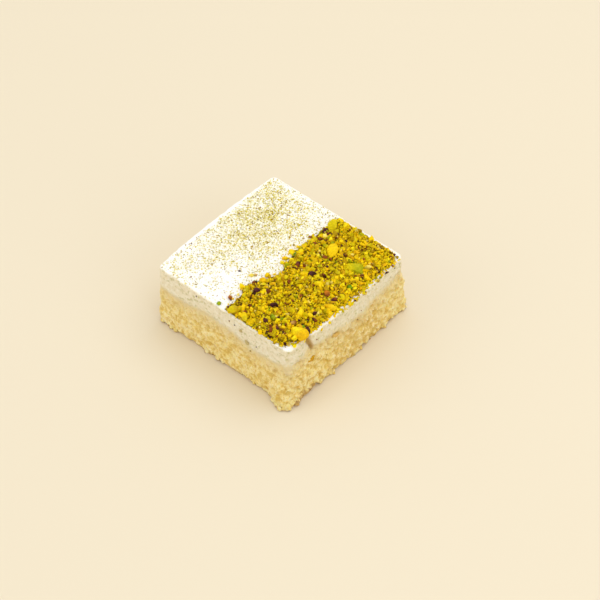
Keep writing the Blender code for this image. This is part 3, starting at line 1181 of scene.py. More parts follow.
@dataclass
class SpongeBlock:
    """The milk-soaked sponge with its open crumb."""

    form: SliceForm
    columns: int = 240
    rows: int = 76
    flat_share: float = 0.90
    lump_mm: float = 2.6
    lump_height: float = 1.05
    grain_mm: float = 1.1
    grain_height: float = 0.55
    pit_mm: float = 4.0
    pit_depth: float = 0.6
    warp_mm: float = 1.4
    pit_share: float = 0.45
    tuck_height: float = 0.0022
    foot_swell: float = 0.0017
    swell_width: float = 0.0065
    swell_from: Span = (0.030, 0.038)
    swell_height: Span = (0.008, 0.001)
    torn_from: Span = (0.036, 0.040)
    calm_relief: float = 0.62
    torn_relief: float = 0.70
    level_base: float = 0.0006

    def walls(self) -> Mesh:
        """The sponge's large form, gridded finely, before its crumb is raised.

        Returns:
            The mesh, with depth, relief and paste-and-shade for each vertex.
        """
        form = self.form
        bm = gridded_block(self.columns, self.rows, fine_top=False)
        ring_face(bm, top=True, share=self.flat_share)
        marks = []
        for vert in bm.verts:
            x, y = vert.co.x * form.half, vert.co.y * form.half
            if max(abs(vert.co.x), abs(vert.co.y)) < INNER:
                vert.co = Vector((x, y, form.sponge_height))
                marks.append((0.0, 0.0, 0.0))
                continue
            seat = form.interface_height(x, y)
            z = vert.co.z * seat
            foot = smoothstep(self.tuck_height, 0.0, z)
            tuck = 1.0 + noise.noise(Vector((x, y, 0.0)) / form.crumb_size)
            inset = form.base_undercut * tuck * foot + NOTCH.depth * NOTCH.share(x, y, z)
            place = form.wall_point(x, y, z, inset)
            swell = self.foot_swell * bell(place.y + form.half, self.swell_width)
            swell *= smoothstep(*self.swell_from, place.x)
            place.x += swell * smoothstep(*self.swell_height, z)
            vert.co = place
            relief = self.calm_relief + self.torn_relief * smoothstep(*self.torn_from, x)
            relief *= smoothstep(0.0, self.level_base, z)
            marks.append(((z - seat) / MM, relief, NOTCH.paste(x, y, z)))
        mesh = mesh_of(bm, "sponge_walls")
        write_marks(mesh, ("depth", "relief", "paste"), marks)
        return mesh

    def crumb_tree(self) -> GeometryTree:
        """Raises lumps and grains out of the walls and sinks pits into them.

        Returns:
            The tree.
        """
        sizes = {
            "Lump Size": self.lump_mm,
            "Lump Height": self.lump_height,
            "Grain Size": self.grain_mm,
            "Grain Height": self.grain_height,
            "Pit Size": self.pit_mm,
            "Pit Depth": self.pit_depth,
        }
        tree = GeometryTree("crumb_relief", sizes)
        place = tree.place_mm
        warp = tree.node("ShaderNodeTexNoise", {"Vector": place, "Scale": 0.55, "Detail": 2.0})
        bent = tree.vector("ADD", place, tree.scaled(warp.outputs["Color"], self.warp_mm))
        soft = tree.noise(bent, tree.calc("DIVIDE", 1.0, tree.size("Lump Size")), detail=1.5)
        lump_up = tree.ramp(soft, 0.25, 0.75, -0.5, 0.5)
        cell = tree.cells(bent, tree.calc("DIVIDE", 1.0, tree.size("Grain Size")), smooth=0.4)
        fine = tree.noise(place, tree.calc("DIVIDE", 1.3, tree.size("Grain Size")), detail=2.0)
        grain_up = tree.ramp(cell.outputs["Distance"], 0.1, 0.9, 0.3, -0.3)
        grain_up = tree.calc("ADD", grain_up, tree.calc("SUBTRACT", fine, 0.5))
        pits = tree.cells(bent, tree.calc("DIVIDE", 1.0, tree.size("Pit Size")))
        hole = tree.ramp(pits.outputs["Distance"], 0.34, 0.12)
        some = tree.axes(pits.outputs["Color"])[0]
        hole = tree.times(hole, tree.calc("LESS_THAN", some, self.pit_share))
        height = tree.times(lump_up, tree.size("Lump Height"))
        height = tree.calc("MULTIPLY_ADD", grain_up, tree.size("Grain Height"), height)
        height = tree.calc("SUBTRACT", height, tree.times(hole, tree.size("Pit Depth")))
        calm = tree.ramp(tree.named("depth"), -3.0, -0.1, 1.0, 0.0)
        height = tree.times(height, tree.times(tree.named("relief"), calm))
        marked = tree.store(tree.geometry, "pit", tree.times(hole, calm), "FLOAT", "POINT")
        # rise: the crumb's height, which its finish turns into painted highlight on tops and
        # painted shade in crevices.
        rise = tree.calc("MULTIPLY_ADD", lump_up, 0.45, 0.5)
        rise = tree.calc("MULTIPLY_ADD", grain_up, 0.5, rise)
        marked = tree.store(marked, "rise", rise, "FLOAT", "POINT")
        flat = tree.vector("MULTIPLY", tree.normal, (1.0, 1.0, 0.3))
        raised = tree.pushed(marked, tree.scaled(flat, tree.times(height, MM)))
        tree.leave(raised, smooth=True)
        return tree

    def build(self, finish: Material) -> Object:
        """Makes the sponge and joins it to the part.

        Args:
            finish: The crumb's material.

        Returns:
            The sponge.
        """
        walls = self.walls()
        sponge = self.crumb_tree().grow("soaked_sponge", walls, finish)
        rest_on_floor(sponge.data)
        sponge.data.set_sharp_from_angle(angle=CREASE)
        bpy.data.meshes.remove(walls)
        settle(sponge, "sponge_cake")
        return sponge


@dataclass
class FootCrumbs:
    """Crumbs that cling to the foot of the sponge, most on its torn sides."""

    top_mm: float = 3.6
    density: float = 170000.0
    smallest: float = 0.0008
    largest: float = 0.0027
    front_foot_mm: tuple[float, float, float] = (40.0, -43.0, 1.5)
    seed: int = 3

    def tree(self) -> GeometryTree:
        """Scatters lumps low on the walls.

        Returns:
            The tree.
        """
        sizes = {"Density": self.density, "Smallest": self.smallest, "Largest": self.largest}
        tree = GeometryTree("foot_crumbs", sizes)
        x, y, z = tree.axes(tree.place_mm)
        low = tree.ramp(z, self.top_mm, 0.4)
        off_floor = tree.calc("GREATER_THAN", z, 0.25)
        sides = tree.calc("ADD", tree.ramp(x, 36.0, 40.0), tree.ramp(y, -38.0, -41.0, 0.0, 0.4))
        far = tree.length(tree.vector("SUBTRACT", tree.place_mm, self.front_foot_mm))
        sides = tree.calc("ADD", sides, tree.ramp(far, 8.0, 3.0, 0.2, 2.2))
        share = tree.times(tree.times(low, off_floor), sides)
        density = tree.times(share, tree.size("Density"))
        lump = tree.node("GeometryNodeMeshIcoSphere", {"Radius": 0.5, "Subdivisions": 2})
        small = tree.calc("POWER", tree.chance(0.0, 1.0, self.seed), 2.0)
        span = tree.calc("SUBTRACT", tree.size("Largest"), tree.size("Smallest"))
        width = tree.calc("MULTIPLY_ADD", small, span, tree.size("Smallest"))
        stretch = tree.chances((0.75, 0.75, 0.6), (1.2, 1.2, 1.0), self.seed + 5)
        placed = tree.node("GeometryNodeInstanceOnPoints", {
            "Points": tree.scattered({"Density": density, "Seed": self.seed + 2}),
            "Instance": lump.outputs[0],
            "Rotation": tree.chances((0.0,) * 3, (math.tau,) * 3, self.seed + 9),
            "Scale": tree.scaled(stretch, width),
        })
        real = tree.node("GeometryNodeRealizeInstances", {0: placed.outputs[0]}).outputs[0]
        tree.leave(tree.wobbled(real, waves=1.6, detail=2.0, amount=0.9 * MM), smooth=True)
        return tree

    def build(self, sponge: Object, finish: Material) -> None:
        """Makes the crumbs and joins them to the part.

        Args:
            sponge: The sponge that they cling to.
            finish: The crumb's material.
        """
        crumbs = self.tree().grow("foot_crumbs", sponge.data, finish)
        rest_on_floor(crumbs.data)
        settle(crumbs)


@dataclass(frozen=True)
class DustForm:
    """How the ground nut is sieved over the cream: thick round one place, thinning to the rim."""

    base: float = 0.28
    heart: Span = (-0.023, 0.012)
    heart_width: Span = (0.021, 0.025)
    heart_gain: float = 0.64
    rim: Span = (0.0402, 0.0384)
    drift: Span = (0.75, 0.5)
    drift_size: float = 0.007
    front_loss: float = 0.10
    front_from: Span = (-0.008, -0.022)
    front_until: Span = (-0.022, -0.010)
    side_gain: float = 0.05
    side_from: Span = (-0.014, -0.030)

    def share(self, x: float, y: float) -> float:
        """How thickly ground nut lies at a place on the cream's top, from 0 to 1.

        Args:
            x: Place along X.
            y: Place along Y.

        Returns:
            The share.
        """
        heart = bell(x - self.heart[0], self.heart_width[0])
        heart *= bell(y - self.heart[1], self.heart_width[1])
        drift = self.drift[0] + self.drift[1] * noise.noise(Vector((x, y, 0.0)) / self.drift_size)
        front = self.front_loss * smoothstep(*self.front_from, y)
        base = self.base - front * smoothstep(*self.front_until, x)
        base += self.side_gain * smoothstep(*self.side_from, x)
        rim = smoothstep(*self.rim, max(abs(x), abs(y)))
        return rim * drift * (base + self.heart_gain * heart)


@dataclass
class CreamLayer:
    """The whipped cream: a soft-edged top and cut, dragged sides."""

    form: SliceForm
    outline: BedForm
    dust: DustForm = DustForm()
    columns: int = 190
    rows: int = 26
    arc_rows: int = 7
    edge_round: float = 0.0008
    top_wave: float = 0.00016
    top_wave_size: float = 0.013
    edge_wave: float = 0.00045
    edge_wave_size: float = 0.0045
    drag_height: float = 0.16
    fluff_height: float = 0.55
    dragged_corner_mm: tuple[float, float, float] = (40.0, -40.0, 30.0)
    flat_share: float = 0.90
    wall_dust: float = 0.0015
    bed_margin: float = 0.0008
    fringe_width: float = 0.0016
    margin_share: float = 3.4
    strip_from: Span = (0.0380, -0.0382)
    strip_front: float = 0.0110
    front_clear: Span = (0.0048, 0.0066)
    back_clear: Span = (0.0030, 0.0046)
    rim_clear: Span = (0.0002, 0.0007)
    hanging_share: float = 2.2
    hanging_from: Span = (-0.020, -0.006)
    hanging_until: Span = (0.0368, 0.0330)
    hanging_depth: Span = (0.0018, 0.0004)

    def profile(self, share: float) -> tuple[float, float]:
        """Height share and inset of the wall, whose last rows turn over the soft edge.

        Args:
            share: Share of the wall's rows, from 0 at the seam to 1 at the top.

        Returns:
            The share of the layer's height there, and how far the wall is set in.
        """
        step = round(share * self.rows)
        straight_rows = self.rows - self.arc_rows
        turn = self.edge_round / self.form.cream_thickness
        if step <= straight_rows:
            return (1.0 - turn) * step / straight_rows, 0.0
        angle = math.pi / 2 * (step - straight_rows) / self.arc_rows
        return 1.0 - turn + turn * math.sin(angle), self.edge_round * (1.0 - math.cos(angle))

    def top_drop(self, x: float, y: float) -> float:
        """How the top's own height wanders at a place."""
        slow = noise.noise(Vector((x, y, 0.3)) / self.top_wave_size)
        return self.top_wave * slow

    def wall(self, x: float, y: float, share: float) -> Vector:
        """A point of the cut side or of the soft edge above it.

        Args:
            x: Place along X on the plain square.
            y: Place along Y on the plain square.
            share: Share of the wall's rows.

        Returns:
            The point.
        """
        seat = self.form.interface_height(x, y)
        rise, inset = self.profile(share)
        near_edge = smoothstep(0.5, 1.0, share)
        wave = noise.noise(Vector((x, y, 0.0)) / self.edge_wave_size)
        inset += near_edge * self.edge_wave * wave
        z = seat + (self.form.total_height - seat) * rise
        inset += NOTCH.depth * NOTCH.share(x, y, z)
        place = self.form.wall_point(x, y, z, inset)
        place.z += near_edge * self.top_drop(place.x, place.y)
        return place

    def bare(self, x: float, y: float) -> float:
        """1 on the bare half of the top and 0 under the bed."""
        return smoothstep(0.0015, 0.0, x - self.outline.edge(y))

    def spill(self, x: float, y: float, rim: float) -> float:
        """How thickly loose chips lie at a place beside the bed.

        Args:
            x: Place along X.
            y: Place along Y.
            rim: How far the place is from the edge of the top.

        Returns:
            The share, above 1 where they fill the strip between the bed and the edge.
        """
        gap = self.outline.edge(y) - x
        if gap > -self.bed_margin:
            inside = smoothstep(0.0395, 0.0385, abs(y))
            return inside * self.bare(x, y) * bell(gap - 0.0002, self.fringe_width)
        half = self.form.half
        front = (half - x) + (half + y)
        back = (half - x) + (half - y)
        in_strip = x > self.strip_from[0] or y < self.strip_from[1] or front < self.strip_front
        clear = smoothstep(*self.front_clear, front) * smoothstep(*self.back_clear, back)
        over = smoothstep(*self.hanging_from, y) * (x > 0.030)
        at_rim = smoothstep(*self.rim_clear, rim + 0.0006 * over)
        return self.margin_share * in_strip * clear * at_rim

    def overhang(self, x: float, y: float, z: float) -> float:
        """How thickly chips cling below the right side's top edge, where the bed runs over it.

        Args:
            x: Place along X.
            y: Place along Y.
            z: Height of the place.

        Returns:
            The share.
        """
        if x < self.form.half * 0.99:
            return 0.0
        along = smoothstep(*self.hanging_from, y) * smoothstep(*self.hanging_until, y)
        low, high = (self.form.total_height - depth for depth in self.hanging_depth)
        return self.hanging_share * along * smoothstep(low, high, z)

    def top_marks(self, place: Vector, reach: float, rim_gap: float) -> tuple[float, ...]:
        """Side, dust, spill and paste-and-shade for a point of the top.

        Args:
            place: The point.
            reach: How far out it lies, from 0 in the middle to 1 at the rim.
            rim_gap: How far it is from the rim.

        Returns:
            The four numbers.
        """
        dust = self.bare(place.x, place.y) * self.dust.share(place.x, place.y)
        spill = self.spill(place.x, place.y, rim_gap)
        return smoothstep(0.985, 1.0, reach) * 0.2, dust, spill, 0.0

    def wall_marks(self, x: float, y: float, z: float, share: float) -> tuple[float, ...]:
        """Side, dust, spill and paste-and-shade for a point of the cut sides.

        Args:
            x: Place along X on the plain square.
            y: Place along Y on the plain square.
            z: Height of the point.
            share: Its height share in the layer.

        Returns:
            The four numbers.
        """
        side = smoothstep(1.0, 0.78, share) * 0.75 + 0.25
        return side, self.wall_dust, self.overhang(x, y, z), NOTCH.paste(x, y, z)

    def body(self) -> Mesh:
        """The layer's form: its gridded top and cut sides, over a plain underside.

        Returns:
            The mesh, with depth, side, dust, spill and paste-and-shade for each vertex.
        """
        form = self.form
        bm = gridded_block(self.columns, self.rows, fine_top=True)
        ring_face(bm, top=False, share=self.flat_share)
        marks = []
        for vert in bm.verts:
            x, y, share = vert.co
            reach = max(abs(x), abs(y))
            if reach < INNER and share < 0.5:
                vert.co = Vector((x * form.half, y * form.half, form.sponge_height))
                marks.append((0.0, 1.0, 0.0, 0.0, 0.0))
                continue
            reach = max(reach, 1e-6)
            edge_x, edge_y = x / reach * form.half, y / reach * form.half
            if share > INNER:
                rim = self.wall(edge_x, edge_y, 1.0)
                place = Vector((rim.x * reach, rim.y * reach, 0.0))
                place.z = form.total_height + self.top_drop(place.x, place.y)
                vert.co = place
                mark = self.top_marks(place, reach, rim.to_2d().length * (1.0 - reach))
            else:
                vert.co = self.wall(edge_x, edge_y, share)
                mark = self.wall_marks(edge_x, edge_y, vert.co.z, share)
            depth = (vert.co.z - form.interface_height(edge_x, edge_y)) / MM
            marks.append((depth, *mark))
        mesh = mesh_of(bm, "cream_body")
        write_marks(mesh, ("depth", "side", "dust", "spill", "paste"), marks)
        return mesh

    def drag_tree(self) -> GeometryTree:
        """Draws the knife's marks down the cut sides, deepest at the front corner.

        Returns:
            The tree.
        """
        sizes = {"Mark Depth": self.drag_height, "Fluff Height": self.fluff_height}
        tree = GeometryTree("knife_marks", sizes)
        stretch = tree.vector("MULTIPLY", tree.place_mm, (1.0, 1.0, 0.10))
        marks = tree.calc("SUBTRACT", tree.noise(stretch, 0.75), 0.5)
        side = tree.named("side")
        far = tree.length(tree.vector("SUBTRACT", tree.place_mm, self.dragged_corner_mm))
        strength = tree.times(tree.ramp(far, 8.0, 22.0, 2.6, 1.0), side)
        strength = tree.times(strength, tree.ramp(tree.named("depth"), 0.1, 1.8))
        height = tree.times(marks, tree.times(strength, tree.size("Mark Depth")))
        fluff = tree.calc("SUBTRACT", tree.noise(tree.place_mm, 0.5, detail=1.5), 0.5)
        fluff = tree.times(fluff, tree.ramp(side, 0.3, 1.0))
        height = tree.calc("MULTIPLY_ADD", fluff, tree.size("Fluff Height"), height)
        flat = tree.vector("MULTIPLY", tree.normal, (1.0, 1.0, 0.0))
        offset = tree.scaled(flat, tree.times(height, 2 * MM))
        tree.leave(tree.pushed(tree.geometry, offset), smooth=True)
        return tree

    def build(self, finish: Material) -> Object:
        """Makes the cream and joins it to the part.

        Args:
            finish: The cream's material.

        Returns:
            The cream.
        """
        body = self.body()
        cream = self.drag_tree().grow("cream_layer", body, finish)
        cream.data.set_sharp_from_angle(angle=CREASE)
        bpy.data.meshes.remove(body)
        settle(cream, "whipped_cream")
        return cream


class Tint(Enum):
    """Colours of chopped nut, as they look in plain light; SHADE is also the painted shade between
    the bed's chips.
    """

    GOLD = linear(239, 200, 0)
    LEMON = linear(247, 221, 14)
    AMBER = linear(225, 176, 0)
    LIME = linear(212, 190, 0)
    OLIVE = linear(184, 150, 0)
    HONEY = linear(198, 148, 22)
    CARAMEL = linear(212, 172, 92)
    TAN = linear(240, 214, 96)
    ORANGE = linear(196, 118, 16)
    MOSS = linear(162, 164, 6)
    FAWN = linear(190, 170, 116)
    GREEN = linear(126, 152, 8)
    DEEP_GREEN = linear(62, 122, 8)
    RUST = linear(132, 68, 22)
    PLUM = linear(84, 42, 44)
    DARK = linear(56, 26, 14)
    # SHADE is the colour of the shade between the bed's chips, painted on the crumbs that fill
    # them.
    SHADE = linear(144, 109, 0)
    HUSK = linear(234, 214, 92)
    MEAL = linear(214, 200, 88)


Palette = tuple[tuple[float, Tint], ...]
CHIP_PALETTE: Palette = (
    (0.00, Tint.GOLD),
    (0.38, Tint.LEMON),
    (0.52, Tint.AMBER),
    (0.62, Tint.LIME),
    (0.81, Tint.OLIVE),
    (0.93, Tint.TAN),
    (0.948, Tint.MOSS),
    (0.97, Tint.RUST),
    (0.992, Tint.PLUM),
)
CRUMB_PALETTE: Palette = (
    (0.00, Tint.GOLD),
    (0.26, Tint.LEMON),
    (0.38, Tint.OLIVE),
    # SHADE crumbs fill the gaps between the chips as painted shade.
    (0.54, Tint.SHADE),
    (0.68, Tint.LIME),
    (0.76, Tint.TAN),
    (0.795, Tint.RUST),
    (0.89, Tint.PLUM),
    (0.955, Tint.DARK),
    (0.98, Tint.GREEN),
)
POWDER_PALETTE: Palette = (
    (0.00, Tint.HUSK),
    (0.38, Tint.MEAL),
    (0.66, Tint.LIME),
    (0.80, Tint.OLIVE),
    (0.93, Tint.SHADE),
    (0.98, Tint.RUST),
    (0.992, Tint.PLUM),
)
MASS_PALETTE: Palette = (
    (0.00, Tint.OLIVE),
    (0.40, Tint.LIME),
    (0.65, Tint.GOLD),
    (0.92, Tint.RUST),
)
BRIGHTNESS: Span = (0.72, 1.15)


def picked_tint(graph: Graph, palette: Palette, pick: Socket) -> Socket:
    """Turns a number from 0 to 1 into one of a palette's tints.

    Args:
        graph: The tree that gets the nodes.
        palette: Where each tint starts between 0 and 1.
        pick: The number.

    Returns:
        The socket with the colour.
    """
    node = graph.node("ShaderNodeValToRGB", {0: pick})
    stops = node.color_ramp
    stops.interpolation = "CONSTANT"
    stops.elements.remove(stops.elements[1])
    stops.elements[0].color = rgba(palette[0][1].value)
    for position, tint in palette[1:]:
        stops.elements.new(position).color = rgba(tint.value)
    return node.outputs[0]


@dataclass(frozen=True)
class Kernel:
    """One large piece: its place, size, turn in degrees and a nut's tints at its two ends."""

    x: float
    y: float
    length: float
    width: float
    height: float
    turn: float
    start: Tint = Tint.HUSK
    end: Tint = Tint.HUSK


KERNELS: tuple[Kernel, ...] = (
    Kernel(0.0372, -0.0289, 0.0108, 0.0074, 0.0044, -12, Tint.LEMON, Tint.AMBER),
    Kernel(0.0301, 0.0178, 0.0100, 0.0072, 0.0034, 14, Tint.LIME, Tint.MOSS),
    Kernel(0.0150, 0.0192, 0.0080, 0.0064, 0.0034, -50, Tint.GOLD, Tint.GOLD),
    Kernel(0.0043, 0.0316, 0.0070, 0.0050, 0.0034, -45, Tint.LIME, Tint.LIME),
    Kernel(0.0182, 0.0361, 0.0038, 0.0026, 0.0024, 0, Tint.GREEN, Tint.LIME),
    Kernel(0.0175, 0.0015, 0.0044, 0.0034, 0.0030, 42, Tint.PLUM, Tint.DARK),
    Kernel(0.0309, -0.0030, 0.0044, 0.0032, 0.0028, -30, Tint.ORANGE, Tint.RUST),
    Kernel(0.0345, -0.0156, 0.0028, 0.0022, 0.0024, -40, Tint.PLUM, Tint.DARK),
    Kernel(0.0368, -0.0183, 0.0026, 0.0020, 0.0022, 20, Tint.PLUM, Tint.RUST),
    Kernel(0.0386, -0.0252, 0.0042, 0.0024, 0.0026, -40, Tint.PLUM, Tint.DARK),
    Kernel(0.0053, -0.0223, 0.0032, 0.0026, 0.0026, 45, Tint.PLUM, Tint.PLUM),
    Kernel(0.0058, -0.0247, 0.0026, 0.0020, 0.0020, 30, Tint.DARK, Tint.DARK),
    Kernel(0.0013, -0.0191, 0.0028, 0.0014, 0.0014, 88, Tint.DARK, Tint.DARK),
    Kernel(0.0120, -0.0376, 0.0056, 0.0036, 0.0028, -30, Tint.GOLD, Tint.LIME),
    Kernel(0.0297, -0.0199, 0.0050, 0.0038, 0.0032, -45, Tint.LEMON, Tint.GOLD),
    Kernel(0.0052, -0.0372, 0.0062, 0.0054, 0.0030, 30, Tint.LIME, Tint.OLIVE),
    Kernel(0.0246, -0.0213, 0.0048, 0.0038, 0.0028, 10, Tint.OLIVE, Tint.LIME),
    Kernel(0.0237, -0.0006, 0.0042, 0.0036, 0.0028, 10, Tint.LEMON, Tint.GOLD),
    Kernel(0.0369, -0.0081, 0.0050, 0.0040, 0.0028, 30, Tint.AMBER, Tint.GOLD),
    Kernel(0.0339, 0.0223, 0.0036, 0.0030, 0.0026, 40, Tint.HUSK, Tint.TAN),
    Kernel(0.0357, 0.0070, 0.0032, 0.0028, 0.0026, -45, Tint.DEEP_GREEN, Tint.GREEN),
    Kernel(0.0354, -0.0034, 0.0036, 0.0024, 0.0028, 80, Tint.PLUM, Tint.RUST),
    Kernel(0.0221, -0.0299, 0.0034, 0.0026, 0.0030, 20, Tint.GREEN, Tint.MOSS),
    Kernel(0.0256, -0.0281, 0.0038, 0.0030, 0.0026, 30, Tint.OLIVE, Tint.GREEN),
    Kernel(0.0063, 0.0262, 0.0026, 0.0022, 0.0022, 0, Tint.RUST, Tint.PLUM),
    Kernel(0.0038, 0.0063, 0.0026, 0.0022, 0.0022, 0, Tint.DEEP_GREEN, Tint.OLIVE),
    Kernel(0.0102, 0.0196, 0.0036, 0.0026, 0.0020, 20, Tint.MOSS, Tint.LIME),
    Kernel(0.0117, 0.0127, 0.0036, 0.0024, 0.0020, -45, Tint.HUSK, Tint.LEMON),
    Kernel(0.0243, 0.0021, 0.0018, 0.0016, 0.0014, 0, Tint.TAN, Tint.CARAMEL),
    Kernel(0.0034, -0.0158, 0.0040, 0.0032, 0.0022, 0, Tint.AMBER, Tint.GOLD),
    Kernel(0.0171, -0.0237, 0.0044, 0.0022, 0.0028, 40, Tint.PLUM, Tint.DARK),
    Kernel(0.0206, -0.0332, 0.0034, 0.0024, 0.0028, 0, Tint.PLUM, Tint.PLUM),
    Kernel(0.0220, -0.0261, 0.0034, 0.0024, 0.0028, 30, Tint.ORANGE, Tint.AMBER),
    Kernel(0.0260, -0.0357, 0.0046, 0.0020, 0.0028, -50, Tint.RUST, Tint.RUST),
    Kernel(0.0275, -0.0334, 0.0028, 0.0020, 0.0028, 0, Tint.RUST, Tint.PLUM),
    Kernel(0.0283, -0.0388, 0.0019, 0.0015, 0.0014, 0, Tint.DARK, Tint.DARK),
    Kernel(0.0362, -0.0376, 0.0018, 0.0014, 0.0014, 0, Tint.DARK, Tint.DARK),
    Kernel(0.0090, 0.0356, 0.0040, 0.0034, 0.0026, 30, Tint.LEMON, Tint.GOLD),
    Kernel(0.0098, -0.0317, 0.0026, 0.0020, 0.0026, 0, Tint.DARK, Tint.RUST),
    Kernel(0.0311, -0.0258, 0.0034, 0.0020, 0.0028, 45, Tint.CARAMEL, Tint.RUST),
    Kernel(0.0088, 0.0018, 0.0038, 0.0024, 0.0028, -60, Tint.PLUM, Tint.RUST),
    Kernel(0.0063, 0.0170, 0.0028, 0.0020, 0.0026, 0, Tint.RUST, Tint.RUST),
    Kernel(0.0094, -0.0193, 0.0030, 0.0022, 0.0028, 0, Tint.PLUM, Tint.RUST),
    Kernel(0.0223, 0.0048, 0.0028, 0.0018, 0.0026, 0, Tint.RUST, Tint.DARK),
)
STRAYS: tuple[Kernel, ...] = (
    Kernel(-0.0030, -0.0383, 0.0024, 0.0020, 0.0016, 10, Tint.GREEN, Tint.MOSS),
    Kernel(-0.0015, -0.0325, 0.0030, 0.0020, 0.0018, -45, Tint.ORANGE, Tint.RUST),
    Kernel(-0.0020, -0.0240, 0.0044, 0.0026, 0.0020, -25, Tint.LEMON, Tint.GOLD),
    Kernel(-0.0038, -0.0156, 0.0028, 0.0018, 0.0012, 30, Tint.TAN, Tint.HUSK),
    Kernel(-0.0026, -0.0142, 0.0014, 0.0012, 0.0010, 0, Tint.CARAMEL, Tint.CARAMEL),
    Kernel(0.0016, -0.0109, 0.0032, 0.0028, 0.0022, -40, Tint.LIME, Tint.GOLD),
    Kernel(0.0004, 0.0022, 0.0032, 0.0018, 0.0016, 45, Tint.AMBER, Tint.GOLD),
    Kernel(0.0013, -0.0006, 0.0022, 0.0020, 0.0016, 0, Tint.HUSK, Tint.LEMON),
    Kernel(0.0001, 0.0073, 0.0042, 0.0030, 0.0022, -45, Tint.GOLD, Tint.LEMON),
    Kernel(-0.0099, -0.0173, 0.0013, 0.0008, 0.0008, 42, Tint.DARK, Tint.PLUM),
    Kernel(-0.0022, 0.0115, 0.0011, 0.0009, 0.0008, 0, Tint.PLUM, Tint.OLIVE),
    Kernel(-0.0070, 0.0140, 0.0012, 0.0009, 0.0008, 0, Tint.OLIVE, Tint.OLIVE),
    Kernel(-0.0090, 0.0230, 0.0013, 0.0010, 0.0009, 60, Tint.LIME, Tint.LIME),
    Kernel(-0.0160, -0.0020, 0.0011, 0.0008, 0.0008, 20, Tint.OLIVE, Tint.OLIVE),
    Kernel(-0.0210, 0.0170, 0.0011, 0.0009, 0.0008, 80, Tint.LIME, Tint.RUST),
)
FOOT_LUMPS: tuple[Kernel, ...] = (
    Kernel(0.0392, -0.0420, 0.0068, 0.0054, 0.0044, 40),
    Kernel(0.0412, -0.0400, 0.0056, 0.0044, 0.0040, 70),
    Kernel(0.0362, -0.0428, 0.0056, 0.0040, 0.0034, 0),
    Kernel(0.0340, -0.0424, 0.0038, 0.0028, 0.0026, 20),
    Kernel(0.0384, -0.0442, 0.0034, 0.0026, 0.0024, -20),
    Kernel(0.0410, -0.0428, 0.0034, 0.0026, 0.0024, 60),
    Kernel(0.0428, -0.0374, 0.0030, 0.0024, 0.0022, 0),
    Kernel(0.0420, 0.0250, 0.0026, 0.0020, 0.0018, 0),
    Kernel(0.0430, -0.0120, 0.0020, 0.0016, 0.0014, 0),
)


CUT_COUNT = 6
CUT_DEPTH: Span = (0.30, 0.44)


def standing(
    kernels: Sequence[Kernel], floor: float, raised: float
) -> list[tuple[Kernel, Matrix]]:
    """Stands kernels on a floor.

    Args:
        kernels: The kernels.
        floor: Height of the floor.
        raised: How far each one's middle is above it, as a share of its own height.

    Returns:
        Each kernel and where it stands.
    """
    return [
        (kernel, Matrix.Translation((kernel.x, kernel.y, floor + kernel.height * raised)))
        for kernel in kernels
    ]


def kernel_mesh(bm: BMesh, kernel: Kernel, stand: Matrix, draw: random.Random) -> None:
    """Adds one cut kernel: an uneven ellipsoid with flats where the knife went.

    Args:
        bm: The mesh that it is added to, with a colour layer named tint.
        kernel: The kernel.
        stand: Where its middle is, and which way its own Z points.
        draw: The source of its uneven shape.
    """
    layer = bm.verts.layers.float_color["tint"]
    made = bmesh.ops.create_icosphere(bm, subdivisions=3, radius=0.5)["verts"]
    cuts = []
    for _ in range(CUT_COUNT):
        way = Vector((draw.uniform(-1.0, 1.0), draw.uniform(-1.0, 1.0), draw.uniform(-0.5, 0.6)))
        cuts.append((way.normalized(), draw.uniform(*CUT_DEPTH)))
    shift = Vector([draw.uniform(0.0, 90.0) for _ in range(3)])
    turn = Euler((draw.uniform(-0.2, 0.2), draw.uniform(-0.2, 0.2), math.radians(kernel.turn)))
    matrix = stand @ turn.to_matrix().to_4x4()
    matrix = matrix @ Matrix.Diagonal((kernel.length, kernel.width, kernel.height, 1.0))
    for vert in made:
        co = vert.co * (1.04 + 0.22 * noise.noise(vert.co * 1.8 + shift))
        for way, depth in cuts:
            over = co.dot(way) - depth
            if over > 0.0:
                co -= way * over * 0.9
        share = smoothstep(-0.35, 0.35, co.x + 0.3 * noise.noise(co * 3.0 + shift))
        tint = Vector(kernel.start.value).lerp(Vector(kernel.end.value), share)
        vert[layer] = (*tint, 1.0)
        vert.co = matrix @ co


def kernel_object(
    name: str,
    kernels: Sequence[tuple[Kernel, Matrix]],
    finish: Material,
    seed: int,
) -> Object:
    """Joins kernels into one piece.

    Args:
        name: The piece's name.
        kernels: Each kernel and where it stands.
        finish: The nut's material.
        seed: Seed of their uneven shapes.

    Returns:
        The piece.
    """
    bm = bmesh.new()
    bm.verts.layers.float_color.new("tint")
    draw = random.Random(seed)
    for kernel, stand in kernels:
        kernel_mesh(bm, kernel, stand, draw)
    mesh = mesh_of(bm, name)
    mesh.materials.append(finish)
    mesh.shade_smooth()
    mesh.set_sharp_from_angle(angle=KNIFE_CREASE)
    return add_object(name, mesh)


